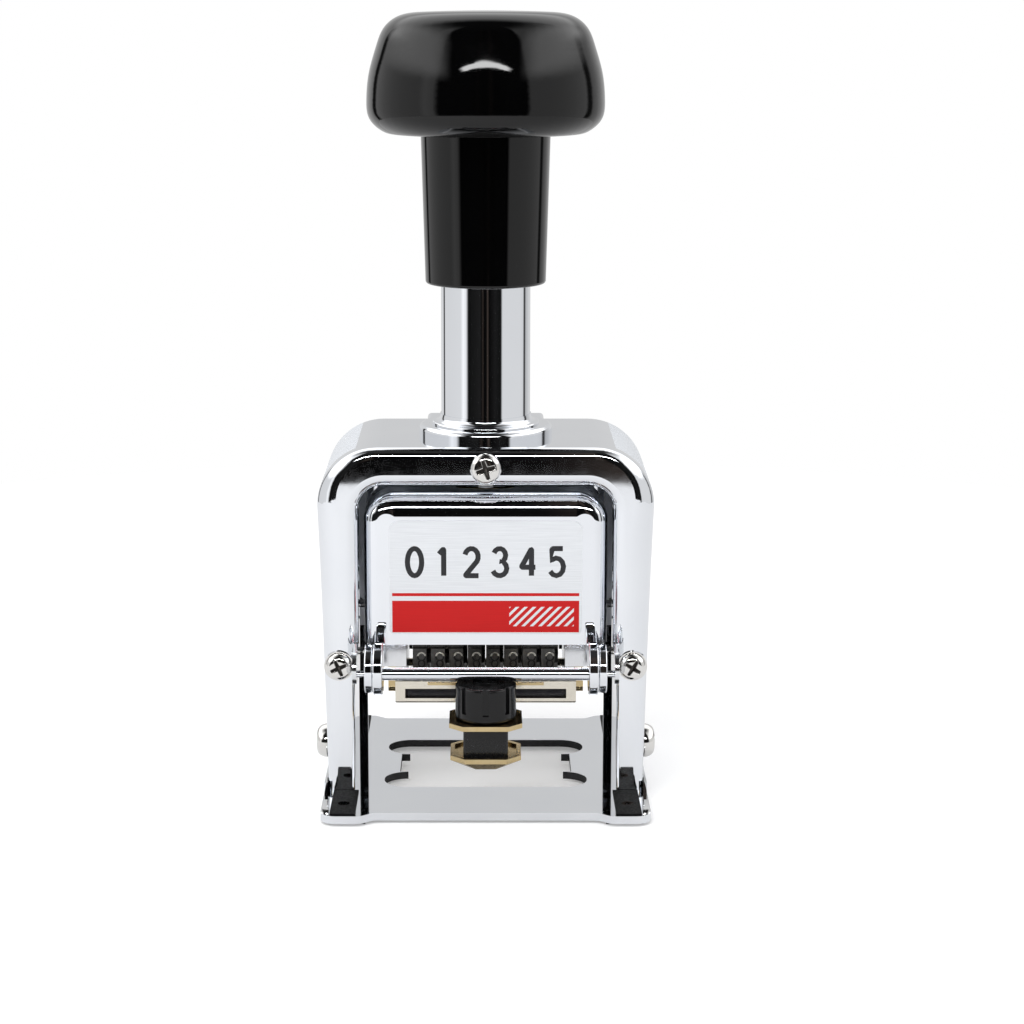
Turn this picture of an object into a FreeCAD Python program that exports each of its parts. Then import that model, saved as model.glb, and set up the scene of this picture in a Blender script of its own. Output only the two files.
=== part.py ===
import FreeCAD, Part
import math
import os

# Numbering machine: a chrome arch on a slotted base, with a plunger that carries
# the number wheels down through the base window while the ink tray swings aside.
# Millimetres. +Z is up, the front is -Y, and the origin is on the surface that the
# machine stands on, under the axis of the plunger.

# Base plate and what it stands on
foot_height = 0.5
foot_side = 7.0
base_thick = 1.5
base_half_x = 31.0
base_half_y = 32.0
base_corner_r = 3.0
edge_step = 2.0
edge_step_half = 23.5
edge_step_run = 2.5
window_half_x = 16.9
window_half_y = 15.0
lobe_half_x = 19.75
tongue_half_y = 5.6
lobe_r = 4.5
side_lip_height = 1.7
side_lip_gap = 0.1
eyelet_inset = 4.2
eyelet_inset_y = 6.2
eyelet_r = 1.1
eyelet_bore_r = 0.6
corner_pad_half_x = 2.4
corner_pad_edge = 0.6
corner_pad_gap = 0.1
thin_sheet = 0.3

# Housing: one folded arch with a front and a rear flange
wall = 1.5
front_y = -17.5
back_y = 18.0
arch_top = 68.9
arch_overhang = 1.35
leg_foot_inset = 0.8
arch_r = 11.5
arch_top_edge_r = 2.0
arch_edge_r = 4.0
leg_edge_r = 1.6
rear_edge_r = 1.3
arch_side_band = 8.15
arch_top_band = 7.2
opening_r = 5.0
leg_face_width = 5.2
step_z = 25.0
step_height = 2.6
step_r = 2.6
lip_thick = 2.4
lip_roll = 2.2
leg_roll = 1.0
lip_back_y = -12.4
leg_wall_thick = 1.2
leg_wall_back_y = -2.0
rear_leg_step = 0.1
rear_cover_low = 27.0
rear_cover_thick = 1.0
rear_cover_margin = 2.6

# Stem, grip and knob
stem_r = 8.6
stem_wall = 1.2
stem_top = 106.0
flange_r = 12.9
flange_thick = 2.1
flange_rear_y = 12.0
flange_rear_half = 11.5
flange_edge_r = 0.9
neck_ring_r = 10.4
neck_ring_height = 2.0
neck_flare_r = 1.5
bush_r = 5.9
bush_collar_height = 1.5
rod_r = 4.0
rod_thread_r = 3.0
sleeve_low = 98.2
sleeve_top = 126.6
sleeve_low_r = 11.55
sleeve_top_r = 12.35
sleeve_gap = 0.4
sleeve_end_wall = 1.4
knob_socket_depth = 12.0
knob_height = 23.0
knob_r = 22.6
knob_under_r = 16.5
spring_wire_r = 0.7
spring_turns = 8
collar_height = 2.5
collar_low = 104.4

# Carriage and number wheels
wheel_r = 10.5
wheel_count = 8
wheel_pitch = 3.55
rim_width = 2.65
ratchet_width = 0.75
ratchet_r = 8.0
ratchet_root_r = 6.8
type_relief = 0.6
type_gap = 1.6
figures = 10
axle_r = 2.0
print_drop = 18.7
side_plate_in = 15.3
side_plate_thick = 1.0
side_plate_r = 10.0
side_plate_front_y = -11.2
side_flange_low = 25.3
side_flange_high = 40.0
side_flange_gap = 2.5
bridge_drop = 7.5
bridge_thick = 3.0
bridge_rear_y = 11.0
tongue_half = 2.4
tongue_reach = 3.2

# Front cover of the carriage
cover_side_gap = 1.0
cover_top_gap = 1.2
cover_low = 30.5
cover_front_y = -15.3
cover_back_y = -5.5
cover_wall = 0.8
cover_corner_r = 6.0
cover_side_r = 2.6
cover_shoulder_r = 5.0
label_side_margin = 4.85
label_top_margin = 0.8
label_low = 32.7
label_thick = 0.2

# Ink tray and its swing
swing_angle = 95.0
tray_low = 16.9
tray_floor = 1.0
tray_half_x = 17.6
tray_half_y = 8.6
tray_top = 21.3
pad_frame_low = 19.8
pad_frame_wall = 0.8
post_width = 1.9
arm_thick = 1.6
arm_half = 3.1
arm_hub_r = 3.4
follower_r = 0.8
follower_orbit = 8.0
follower_start = 45.0
leaf_half_in = 3.0
leaf_half_out = 11.3

# Feed pawls, worked by their own slot
pawl_swing = 40.0
pawl_arm_thick = 0.6
pawl_bar_r = 0.9
pawl_bar_orbit = 12.2
pawl_bar_start = 160.0
feed_pin_orbit = 6.0
feed_pin_start = 140.0
blade_thick = 0.45
detent_rod_r = 1.2
detent_rod_angle = 222.0
detent_rod_orbit = 13.8
detent_tip_angle = 248.0

# Cam plates inside the legs
cam_gap = 0.5
cam_thick = 1.2
cam_low = 5.5
cam_high = 38.0
cam_front_y = -11.0
cam_rear_y = 12.5
cam_crest_front_y = -2.0
cam_crest_rear_y = 7.0
cam_crest = 8.0
cam_waist_y = -5.0
cam_heel = 7.0
cam_waist = 9.0
cam_stud_y = 9.0
cam_stud_lift = 5.0
cam_stud_r = 2.6
side_screw_y = -7.0
side_screw_z = 8.9

# Front cross bar, discs and hanging column
bar_y = -22.6
bar_z = 26.8
bar_r = 1.2
disc_room = 4.9
disc_z = 27.9
inner_disc_r = 4.95
outer_disc_r = 4.6
inner_disc_thick = 1.8
outer_disc_thick = 1.5
bar_pin_r = 0.65
bracket_r = 3.0
bracket_thick = 0.8
plate_half_x = 6.85
plate_half_y = 6.5
plate_low = 17.5
plate_thick = 0.9
plate_flat_half = 4.3
nut_r = 5.75
nut_low = 18.5
nut_high = 25.1
nut_notches = 8
post_core_r = 2.4
post_half = 4.2
post_spigot_r = 0.7
dish_low = 9.1
dish_high = 12.0
dish_foot_half = 3.15

# Fasteners
screw_r = 2.95
screw_head = 1.7
screw_shank_r = 1.4
leg_screw_r = 2.6
leg_screw_inset = 3.1
leg_screw_z = 27.0
washer_rim = 0.25
washer_thick = 0.5
top_screw_drop = 3.7
side_head_r = 3.35
side_head = 2.6
small_screw_r = 1.5
small_head = 0.9
small_shank_r = 0.8

# Clearances between pieces that move against each other
running = 0.05
pin_play = 0.12
side_play = 0.15
tip_play = 0.3

V = FreeCAD.Vector
base_top = foot_height + base_thick
axle_z = print_drop + wheel_r
flange_top = arch_top + flange_thick
arch_half = base_half_x + arch_overhang
opening_half = arch_half - arch_side_band
opening_top = arch_top - arch_top_band
cover_half = opening_half - cover_side_gap
cover_top = opening_top - cover_top_gap
label_half = cover_half - label_side_margin
label_high = cover_top - cover_shoulder_r - label_top_margin
bridge_low = cover_top - bridge_drop
bar_half = opening_half - disc_room
side_plate_out = side_plate_in + side_plate_thick
side_flange_reach = cover_half - cover_wall - side_plate_out - side_flange_gap
bridge_top = bridge_low + bridge_thick
arm_out = tray_half_x + arm_thick
leg_foot_half = base_half_x - leg_foot_inset
leg_open_half = leg_foot_half - leg_face_width
leg_slope = (arch_half - leg_foot_half) / (arch_top - base_top)
cam_out = leg_foot_half - wall - cam_gap
cam_in = cam_out - cam_thick
top_screw_z = arch_top - top_screw_drop
spring_low = arch_top + bush_collar_height
pawl_arm_in = side_plate_in - side_play - pawl_arm_thick - 0.1
pawl_arm_out = pawl_arm_in + pawl_arm_thick
disc_in = bar_half
disc_mid = disc_in + inner_disc_thick + 0.1
bracket_out = opening_half + bracket_thick


def block(x0, x1, y0, y1, z0, z1):
    """Box between two corners."""
    return Part.makeBox(x1 - x0, y1 - y0, z1 - z0, V(x0, y0, z0))


def rod_x(x0, x1, y, z, r):
    """Round bar along X."""
    return Part.makeCylinder(r, x1 - x0, V(x0, y, z), V(1, 0, 0))


def rod_y(y0, y1, x, z, r):
    """Round bar along Y."""
    return Part.makeCylinder(r, y1 - y0, V(x, y0, z), V(0, 1, 0))


def rod_z(z0, z1, x, y, r):
    """Round bar along Z."""
    return Part.makeCylinder(r, z1 - z0, V(x, y, z0), V(0, 0, 1))


def join(pieces):
    """One solid from pieces that touch or overlap."""
    whole = pieces[0].multiFuse(pieces[1:])
    return whole.removeSplitter()


def cut(shape, tools):
    """Shape with every tool taken away."""
    for tool in tools:
        shape = shape.cut(tool)
    return shape


def mirrored(shape):
    """The same piece on the other side of the machine."""
    return shape.mirror(V(0, 0, 0), V(1, 0, 0))


def pair(shape):
    """A piece with its twin on the other side."""
    return [shape, mirrored(shape)]


def unit(u, v):
    """Direction of length one."""
    size = math.hypot(u, v)
    return u / size, v / size


def corner(before, here, after):
    """Start, middle and end of the arc that rounds one corner of an outline."""
    u, v, r = here
    if r == 0:
        return (u, v), None, (u, v)
    a = unit(before[0] - u, before[1] - v)
    b = unit(after[0] - u, after[1] - v)
    half = math.acos(a[0] * b[0] + a[1] * b[1]) / 2
    reach = r / math.tan(half)
    inward = unit(a[0] + b[0], a[1] + b[1])
    sag = r / math.sin(half) - r
    start = (u + a[0] * reach, v + a[1] * reach)
    middle = (u + inward[0] * sag, v + inward[1] * sag)
    end = (u + b[0] * reach, v + b[1] * reach)
    return start, middle, end


def rounded_face(corners, place):
    """Flat face inside (u, v, radius) corners; place turns (u, v) into a point."""
    count = len(corners)
    arcs = []
    for i in range(count):
        arcs.append(corner(corners[i - 1], corners[i], corners[(i + 1) % count]))
    edges = []
    for i in range(count):
        start, middle, end = arcs[i]
        if middle:
            arc = Part.Arc(place(*start), place(*middle), place(*end))
            edges.append(arc.toShape())
        following = arcs[(i + 1) % count][0]
        if math.dist(end, following) > 1e-6:
            edges.append(Part.LineSegment(place(*end), place(*following)).toShape())
    return Part.Face(Part.Wire(edges))


def prism_x(corners, x0, x1):
    """Solid with a (y, z) outline, from x0 to x1."""
    face = rounded_face(corners, lambda u, v: V(x0, u, v))
    return face.extrude(V(x1 - x0, 0, 0))


def prism_y(corners, y0, y1):
    """Solid with an (x, z) outline, from y0 to y1."""
    face = rounded_face(corners, lambda u, v: V(u, y0, v))
    return face.extrude(V(0, y1 - y0, 0))


def prism_z(corners, z0, z1):
    """Solid with an (x, y) outline, from z0 to z1."""
    face = rounded_face(corners, lambda u, v: V(u, v, z0))
    return face.extrude(V(0, 0, z1 - z0))


def both_sides(corners):
    """Outline from its right half, listed from the bottom up."""
    left = [(-u, v, r) for u, v, r in reversed(corners)]
    return corners + left


def fillet_where(shape, r, test):
    """Round every edge whose centre passes the test."""
    edges = [edge for edge in shape.Edges if test(edge.CenterOfMass, edge)]
    return shape.makeFillet(r, edges)


def around_axle(angle, r):
    """Point at an angle back from straight down, round the wheel axle at rest."""
    a = math.radians(angle)
    return r * math.sin(a), axle_z - r * math.cos(a)


def revolved(profile):
    """Solid turned about the plunger axis from (r, z) points."""
    wire = Part.makePolygon([V(r, 0, z) for r, z in profile + profile[:1]])
    return Part.Face(wire).revolve(V(0, 0, 0), V(0, 0, 1), 360)


def aimed(shape, direction, foot):
    """A piece made along +Z at the origin, turned to a direction and moved."""
    turn = FreeCAD.Rotation(V(0, 0, 1), direction)
    placed = shape.copy()
    placed.Placement = FreeCAD.Placement(foot, turn)
    return placed


def pan_screw(head_r, head, shank_r, shank, direction, seat):
    """Pan head screw with a cross recess; seat is where the head meets its face."""
    body = Part.makeCylinder(head_r, head)
    body = fillet_where(body, head * 0.6, lambda c, e: abs(c.z - head) < 0.01 and e.Length > 1)
    slot_wide = head_r * 0.26
    slot_long = head_r * 0.62
    deep = head * 0.45
    arm = block(-slot_long, slot_long, -slot_wide, slot_wide, deep, head + 1)
    other = block(-slot_wide, slot_wide, -slot_long, slot_long, deep, head + 1)
    body = cut(body, [arm, other])
    body = body.fuse(Part.makeCylinder(shank_r, shank, V(0, 0, -shank)))
    return aimed(body.removeSplitter(), direction, seat)


# Base

def base_outline():
    """Outer edge of the base: corners stand out past the stepped front and back."""
    in_y = base_half_y - edge_step
    slope_x = edge_step_half - edge_step_run
    right = [(slope_x, -in_y, 1.5), (edge_step_half, -base_half_y, 1.5)]
    right += [(base_half_x, -base_half_y, base_corner_r)]
    right += [(base_half_x, base_half_y, base_corner_r)]
    right += [(edge_step_half, base_half_y, 1.5), (slope_x, in_y, 1.5)]
    return both_sides(right)


def window_outline():
    """Window that the wheels print through, with a lobe at each corner."""
    right = [(lobe_half_x, -window_half_y, lobe_r), (lobe_half_x, -tongue_half_y, lobe_r)]
    right += [(window_half_x, -tongue_half_y, 0), (window_half_x, tongue_half_y, 0)]
    right += [(lobe_half_x, tongue_half_y, lobe_r), (lobe_half_x, window_half_y, lobe_r)]
    return both_sides(right)


def corner_places():
    """Centres of the four riveted corners."""
    x = base_half_x - eyelet_inset
    y = base_half_y - eyelet_inset_y
    return [(sx * x, sy * y) for sx in (-1, 1) for sy in (-1, 1)]


def base_plate():
    plate = prism_z(base_outline(), foot_height, base_top)
    rail_in = leg_foot_half + side_lip_gap
    rail = block(rail_in, base_half_x, front_y, back_y, base_top, base_top + side_lip_height)
    plate = join([plate] + pair(rail))
    window = prism_z(window_outline(), 0, base_top + 1)
    holes = [rod_z(0, base_top + 1, x, y, eyelet_r) for x, y in corner_places()]
    return cut(plate, [window] + holes)


def corner_pads():
    """Dark plates on the corners, from the foot of a leg almost to the edge of the base."""
    edge = base_half_y - corner_pad_edge
    pads = []
    for x, y in corner_places():
        ends = (-edge, front_y - corner_pad_gap) if y < 0 else (back_y + corner_pad_gap, edge)
        pad = block(x - corner_pad_half_x, x + corner_pad_half_x, ends[0], ends[1],
                    base_top, base_top + thin_sheet)
        pads.append(pad.cut(rod_z(0, base_top + 1, x, y, eyelet_r)))
    return pads


def eyelets():
    rings = []
    for x, y in corner_places():
        ring = rod_z(foot_height, base_top + thin_sheet + 0.15, x, y, eyelet_r)
        rings.append(ring.cut(rod_z(0, base_top + 2, x, y, eyelet_bore_r)))
    return rings


def rubber_feet():
    feet = []
    for sx in (-1, 1):
        for sy in (-1, 1):
            x = sx * (base_half_x - base_corner_r / 2 - foot_side / 2)
            y = sy * (base_half_y - base_corner_r / 2 - foot_side / 2)
            foot = block(x - foot_side / 2, x + foot_side / 2, y - foot_side / 2,
                         y + foot_side / 2, 0, foot_height)
            feet.append(foot)
    return feet


# Housing

def arch_outline(inset):
    """Outside of the arch, drawn in by a wall."""
    right = [(leg_foot_half - inset, base_top, 0)]
    right += [(arch_half - inset, arch_top - inset, arch_r - inset)]
    return both_sides(right)


def opening_outline(grow, leg_half):
    """Arched opening, wider between the legs than beside the cover."""
    right = [(leg_half + grow, base_top - 1, 0), (leg_half + grow, step_z, step_r)]
    right += [(opening_half + grow, step_z + step_height, step_r)]
    right += [(opening_half + grow, opening_top + grow, opening_r + grow)]
    return both_sides(right)


def arch_room():
    """Cavity of the arch, used to trim what stands against its slanted walls."""
    return prism_y(arch_outline(wall), front_y, back_y)


def leg_outer(z):
    """Outside of a leg at a height."""
    return leg_foot_half + leg_slope * (z - base_top)


def leg_screw_x():
    return leg_outer(leg_screw_z) - leg_screw_inset


def edge_rounds(body, top_r, side_r, foot_r, on_edge):
    """Fillet number and end sizes for the edges of a front: top, corners, sides."""
    rounds = []
    for number, edge in enumerate(body.Edges, 1):
        if not on_edge(edge.CenterOfMass):
            continue
        ends = [edge.valueAt(edge.FirstParameter).z, edge.valueAt(edge.LastParameter).z]
        if abs(ends[0] - ends[1]) < 0.01:
            sizes = (top_r, top_r)
        elif edge.Curve.TypeId == "Part::GeomLine":
            sizes = (side_r, foot_r)
        else:
            sizes = (top_r, side_r)
        if ends[0] < ends[1]:
            sizes = (sizes[1], sizes[0])
        rounds.append((number, sizes[0], sizes[1]))
    return rounds


def rounded_front(body, rounds):
    """A body whose front edges are rounded by sizes that change along them."""
    document = FreeCAD.newDocument("rounding")
    source = document.addObject("Part::Feature", "source")
    source.Shape = body
    rounded = document.addObject("Part::Fillet", "rounded")
    rounded.Base = source
    rounded.Edges = rounds
    document.recompute()
    result = rounded.Shape.copy()
    FreeCAD.closeDocument(document.Name)
    return result


def arch_body(inset):
    """The arch as a block, with a broad round along its front edge that narrows downwards."""
    front = front_y + inset
    body = prism_y(arch_outline(inset), front, back_y - inset)
    rounds = edge_rounds(body, arch_top_edge_r - inset, arch_edge_r - inset, leg_edge_r - inset,
                         lambda c: abs(c.y - front) < 0.01 and c.z > base_top + 0.01)
    return rounded_front(body, rounds)


def frame_housing():
    arch = arch_body(0)
    arch = fillet_where(arch, rear_edge_r, lambda c, e: abs(c.z - base_top) > 0.01
                        and abs(c.y - back_y) < 0.01)
    arch = arch.cut(arch_body(wall))
    front_hole = prism_y(opening_outline(0, leg_open_half), front_y - 1, front_y + wall + 0.1)
    rear_hole = prism_y(opening_outline(0, opening_half + rear_leg_step), back_y - wall - 0.1,
                        back_y + 1)
    arch = cut(arch, [front_hole, rear_hole])
    lip = prism_y(opening_outline(lip_thick, leg_open_half), front_y + wall / 2, lip_back_y)
    lip = lip.cut(prism_y(opening_outline(0, leg_open_half), front_y - 1, lip_back_y + 1))
    lip = lip.common(arch_body(wall / 2))
    leg_wall = block(leg_open_half, leg_open_half + leg_wall_thick, front_y + wall / 2,
                     leg_wall_back_y, base_top, step_z - step_r)
    arch = join([arch, lip] + pair(leg_wall))
    arch = rounded_front(arch, opening_rounds(arch))
    arch = join([arch] + screw_bosses())
    slot = block(opening_half - 1, bracket_out, front_y - 1, lip_back_y, disc_z - bracket_r,
                 disc_z + bracket_r)
    arch = cut(arch, pair(slot))
    holes = [rod_z(arch_top - wall - 1, arch_top + 1, 0, 0, bush_r)]
    holes += [rod_y(front_y - 1, front_y + wall + 1, 0, top_screw_z, screw_shank_r)]
    for side in (-1, 1):
        x = side * leg_screw_x()
        holes += [rod_y(front_y - 1, front_y + wall + 1, x, leg_screw_z, screw_shank_r)]
        holes += [rod_y(back_y - wall - 1, back_y + 1, side * rear_screw_x(), z, small_shank_r)
                  for z in rear_screw_heights()]
    holes += pair(rod_x(leg_foot_half - 2 * wall, leg_outer(side_screw_z) + wall, side_screw_y,
                        side_screw_z, screw_shank_r))
    holes += pair(rod_x(opening_half - 1, opening_half + lip_thick + 1, bracket_rivet_y(),
                        disc_z, small_shank_r))
    return cut(arch, holes)


def screw_bosses():
    """Flat seats for the front screws, where the front of the arch rounds away."""
    back = front_y + arch_edge_r
    bosses = pair(rod_y(front_y, back, leg_screw_x(), leg_screw_z, leg_screw_r + washer_rim))
    return bosses + [rod_y(front_y, back, 0, top_screw_z, screw_r)]


def opening_rounds(arch):
    """Fillet sizes round the front opening: a broad roll above the step, a small one below."""
    rounds = []
    for number, edge in enumerate(arch.Edges, 1):
        centre = edge.CenterOfMass
        on_front = abs(centre.y - front_y) < 0.01
        inside = abs(centre.x) < leg_open_half + 0.1 and centre.z < opening_top + 0.1
        if not (on_front and inside and centre.z > base_top + 0.1):
            continue
        ends = [edge.valueAt(edge.FirstParameter).z, edge.valueAt(edge.LastParameter).z]
        if max(ends) < step_z + step_height / 2:
            sizes = (leg_roll, leg_roll)
        elif min(ends) > step_z + step_height / 2:
            sizes = (lip_roll, lip_roll)
        elif ends[0] < ends[1]:
            sizes = (leg_roll, lip_roll)
        else:
            sizes = (lip_roll, leg_roll)
        rounds.append((number, sizes[0], sizes[1]))
    return rounds


def rear_screw_x():
    return opening_half + rear_cover_margin / 2 + 0.3


def rear_screw_heights():
    return [rear_cover_low + 4, opening_top - opening_r]


def rear_cover():
    half = opening_half + rear_cover_margin
    top = opening_top + rear_cover_margin
    right = [(half, rear_cover_low, 2.0), (half, top, opening_r + rear_cover_margin)]
    plate = prism_y(both_sides(right), back_y, back_y + rear_cover_thick)
    plate = fillet_where(plate, 0.4, lambda c, e: abs(c.y - back_y - rear_cover_thick) < 0.01)
    holes = [rod_y(back_y - 1, back_y + 3, side * rear_screw_x(), z, small_shank_r)
             for side in (-1, 1) for z in rear_screw_heights()]
    return cut(plate, holes)


def rear_screws():
    face = back_y + rear_cover_thick
    return [pan_screw(small_screw_r, small_head, small_shank_r, rear_cover_thick + wall + 0.6,
                      V(0, 1, 0), V(side * rear_screw_x(), face, z))
            for side in (-1, 1) for z in rear_screw_heights()]


def guide_channel():
    """Upright channel on the rear cover, which keeps the carriage from turning."""
    gap = tongue_half + running
    low = bridge_low - print_drop - 2
    high = bridge_top + 3
    rear = back_y
    reach = bridge_rear_y + tongue_reach
    body = block(-gap - 1.5, gap + 1.5, reach - 1.6, rear, low, high)
    return body.cut(block(-gap, gap, 0, reach + tip_play, low - 1, high + 1))


# Column and stem

def column_flange():
    """Plate with a round front and a square rear, and a ring that flares up to the stem."""
    disc = rod_z(arch_top, flange_top, 0, 0, flange_r)
    rear = block(-flange_rear_half, flange_rear_half, 0, flange_rear_y, arch_top, flange_top)
    plate = join([disc, rear])
    plate = fillet_where(plate, flange_edge_r, lambda c, e: abs(c.z - flange_top) < 0.01)
    top_z = flange_top + neck_ring_height
    lip_r = stem_r + running
    ring = [(0, arch_top, 0), (neck_ring_r, arch_top, 0), (neck_ring_r, flange_top + 0.5, 0.3),
            (lip_r + 0.15, flange_top + 0.5, neck_flare_r - 0.3), (lip_r + 0.15, top_z, 0), (0, top_z, 0)]
    face = rounded_face(ring, lambda u, v: V(u, 0, v))
    flare = face.revolve(V(0, 0, 0), V(0, 0, 1), 360)
    return plate.fuse(flare).removeSplitter().cut(rod_z(arch_top - 1, top_z + 1, 0, 0, stem_r))


def stem_tube():
    tube = rod_z(arch_top, stem_top, 0, 0, stem_r)
    return tube.cut(rod_z(0, stem_top + 1, 0, 0, stem_r - stem_wall))


def rod_bush():
    collar = rod_z(arch_top, spring_low, 0, 0, stem_r - stem_wall - 0.1)
    sleeve = rod_z(arch_top - wall - 1.5, arch_top, 0, 0, bush_r)
    whole = join([collar, sleeve])
    return whole.cut(rod_z(0, stem_top, 0, 0, rod_r + running))


def plunger_rod():
    top = sleeve_top + knob_socket_depth
    thread = rod_z(bridge_low - 4, bridge_top, 0, 0, rod_thread_r)
    return join([thread, rod_z(bridge_top, top, 0, 0, rod_r)])


def lock_nut():
    across = 5.5
    height = 3.0
    hexagon = Part.makePolygon([V(across * math.cos(math.radians(60 * i)),
                                  across * math.sin(math.radians(60 * i)),
                                  bridge_low - height) for i in range(7)])
    nut = Part.Face(hexagon).extrude(V(0, 0, height))
    return nut.cut(rod_z(0, bridge_low, 0, 0, rod_thread_r))


def spring_collar():
    outer = stem_r - stem_wall - tip_play
    ring = rod_z(collar_low, collar_low + collar_height, 0, 0, outer)
    return ring.cut(rod_z(0, stem_top + 10, 0, 0, rod_r))


def grip_sleeve():
    outer = revolved([(0, sleeve_low), (sleeve_low_r, sleeve_low), (sleeve_top_r, sleeve_top),
                      (0, sleeve_top)])
    outer = fillet_where(outer, 0.6, lambda c, e: abs(c.z - sleeve_low) < 0.01 and e.Length > 1)
    bore = rod_z(sleeve_low - 1, sleeve_top - sleeve_end_wall, 0, 0, stem_r + sleeve_gap)
    return cut(outer, [bore, rod_z(sleeve_low, sleeve_top + 1, 0, 0, rod_r)])


def knob():
    """Mushroom: a flat crown, a bulging side and an underside drawn in to the sleeve."""
    low = sleeve_top
    shares = [(0.51, 0.990), (0.735, 0.953), (0.85, 0.862), (0.916, 0.711), (0.976, 0.504),
              (1.0, 0.28), (0.972, 0.117), (0.87, 0.025)]
    outline = [V(knob_r * r, 0, low + knob_height * z) for r, z in shares]
    crown = V(0, 0, low + knob_height)
    under = V(knob_under_r, 0, low)
    side = Part.BSplineCurve()
    side.interpolate(Points=[crown] + outline + [under], InitialTangent=V(1, 0, 0),
                     FinalTangent=V(-1, 0, 0))
    foot = V(0, 0, low)
    straight = [Part.LineSegment(under, foot), Part.LineSegment(foot, crown)]
    wire = Part.Wire([curve.toShape() for curve in [side] + straight])
    body = Part.Face(wire).revolve(V(0, 0, 0), V(0, 0, 1), 360)
    return body.cut(rod_z(low - 1, low + knob_socket_depth, 0, 0, rod_r))


def helix_point(angle, r, rise, z0):
    """Place and direction on a helix after an angle in radians."""
    place = V(r * math.cos(angle), r * math.sin(angle), z0 + rise * angle)
    heading = V(-r * math.sin(angle), r * math.cos(angle), rise).normalize()
    return place, heading


def arc_from(start, control, end):
    """Arc that leaves start towards control and arrives at end from it."""
    half_chord = (end - start) * 0.5
    lean = math.acos(half_chord.Length / (control - start).Length)
    middle = start + half_chord
    bulge = (control - middle).normalize()
    top = middle + bulge * (half_chord.Length * math.tan(lean / 2))
    return Part.Arc(start, top, end).toShape()


def quarter_turn(a, ta, b, tb):
    """Two arcs that join two places of a helix and keep both directions."""
    span = b - a
    both = ta + tb
    k = 2 * (1 - ta.dot(tb))
    along = span.dot(both)
    reach = (-along + math.sqrt(along * along + k * span.dot(span))) / k
    first = a + ta * reach
    second = b - tb * reach
    middle = (first + second) * 0.5
    return [arc_from(a, first, middle), arc_from(middle, second, b)]


def return_spring():
    r = (rod_r + stem_r - stem_wall) / 2
    low = spring_low + spring_wire_r
    high = collar_low - spring_wire_r
    rise = (high - low) / (spring_turns * 2 * math.pi)
    edges = []
    for i in range(spring_turns * 4):
        a, ta = helix_point(i * math.pi / 2, r, rise, low)
        b, tb = helix_point((i + 1) * math.pi / 2, r, rise, low)
        edges += quarter_turn(a, ta, b, tb)
    place, heading = helix_point(0, r, rise, low)
    section = Part.Wire(Part.makeCircle(spring_wire_r, place, heading))
    pitch = rise * 2 * math.pi
    print("return spring gap between turns", round(pitch - 2 * spring_wire_r, 2))
    return Part.Wire(edges).makePipeShell([section], True, False)


# Carriage

def side_plate_corners():
    """Side plate: round the axle below, clear of the tray's swing, wide at the top."""
    front_low = side_flange_low
    rear_y, rear_z = around_axle(150, side_plate_r)
    high = axle_z + tray_reach() + 1.5
    return [(side_plate_front_y, front_low, 0.8), (rear_y, front_low, 0), (rear_y, high, 1.5),
            (bridge_rear_y - 2, high + 4, 1.5), (bridge_rear_y - 2, bridge_low, 0),
            (side_plate_front_y, bridge_low, 0)]


def tray_reach():
    """Largest distance of the ink tray from the wheel axle."""
    return math.hypot(axle_z - tray_low, tray_half_y)


def side_plate():
    plate = prism_x(side_plate_corners(), side_plate_in, side_plate_out)
    disc = rod_x(side_plate_in, side_plate_out, 0, axle_z, side_plate_r)
    above = block(side_plate_in, side_plate_out, -40, 40, side_flange_low - 8, axle_z + 2)
    plate = join([plate, disc.common(above)])
    flange = block(side_plate_in, side_plate_out + side_flange_reach,
                   side_plate_front_y - side_plate_thick, side_plate_front_y,
                   side_flange_low, side_flange_high)
    tab = block(side_plate_in - 5, side_plate_in, -6, 6, bridge_low - 1.2, bridge_low)
    plate = join([plate, flange, tab])
    slot = arc_slot(side_plate_in - 1, side_plate_out + 1, feed_pin_orbit,
                    follower_r + pin_play + 0.1, feed_pin_start - 1, feed_pin_start + pawl_swing + 1)
    holes = [slot, rod_x(side_plate_in - 1, side_plate_out + 1, 0, axle_z, axle_r)]
    hole_y, hole_z = around_axle(detent_rod_angle, detent_rod_orbit)
    holes += [rod_x(side_plate_in - 1, side_plate_out + 1, hole_y, hole_z, detent_rod_r)]
    holes += [rod_z(bridge_low - 3, bridge_low + 1, side_plate_in - 2.5, y, small_shank_r)
              for y in (-4, 4)]
    return cut(plate, holes)


def arc_slot(x0, x1, orbit, half, angle0, angle1):
    """Curved slot round the wheel axle, between two angles back from straight down."""
    def at(angle, r):
        y, z = around_axle(angle, r)
        return V(x0, y, z)
    middle = (angle0 + angle1) / 2
    cap = math.degrees(half / orbit)
    outer = Part.Arc(at(angle0, orbit + half), at(middle, orbit + half), at(angle1, orbit + half))
    far = Part.Arc(at(angle1, orbit + half), at(angle1 + cap, orbit), at(angle1, orbit - half))
    inner = Part.Arc(at(angle1, orbit - half), at(middle, orbit - half), at(angle0, orbit - half))
    near = Part.Arc(at(angle0, orbit - half), at(angle0 - cap, orbit), at(angle0, orbit + half))
    wire = Part.Wire([outer.toShape(), far.toShape(), inner.toShape(), near.toShape()])
    return Part.Face(wire).extrude(V(x1 - x0, 0, 0))


def bridge_screw_places():
    return [(side * (side_plate_in - 2.5), y) for side in (-1, 1) for y in (-4, 4)]


def cover_post_y():
    return cover_front_y + cover_shoulder_r + 1.5


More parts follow.
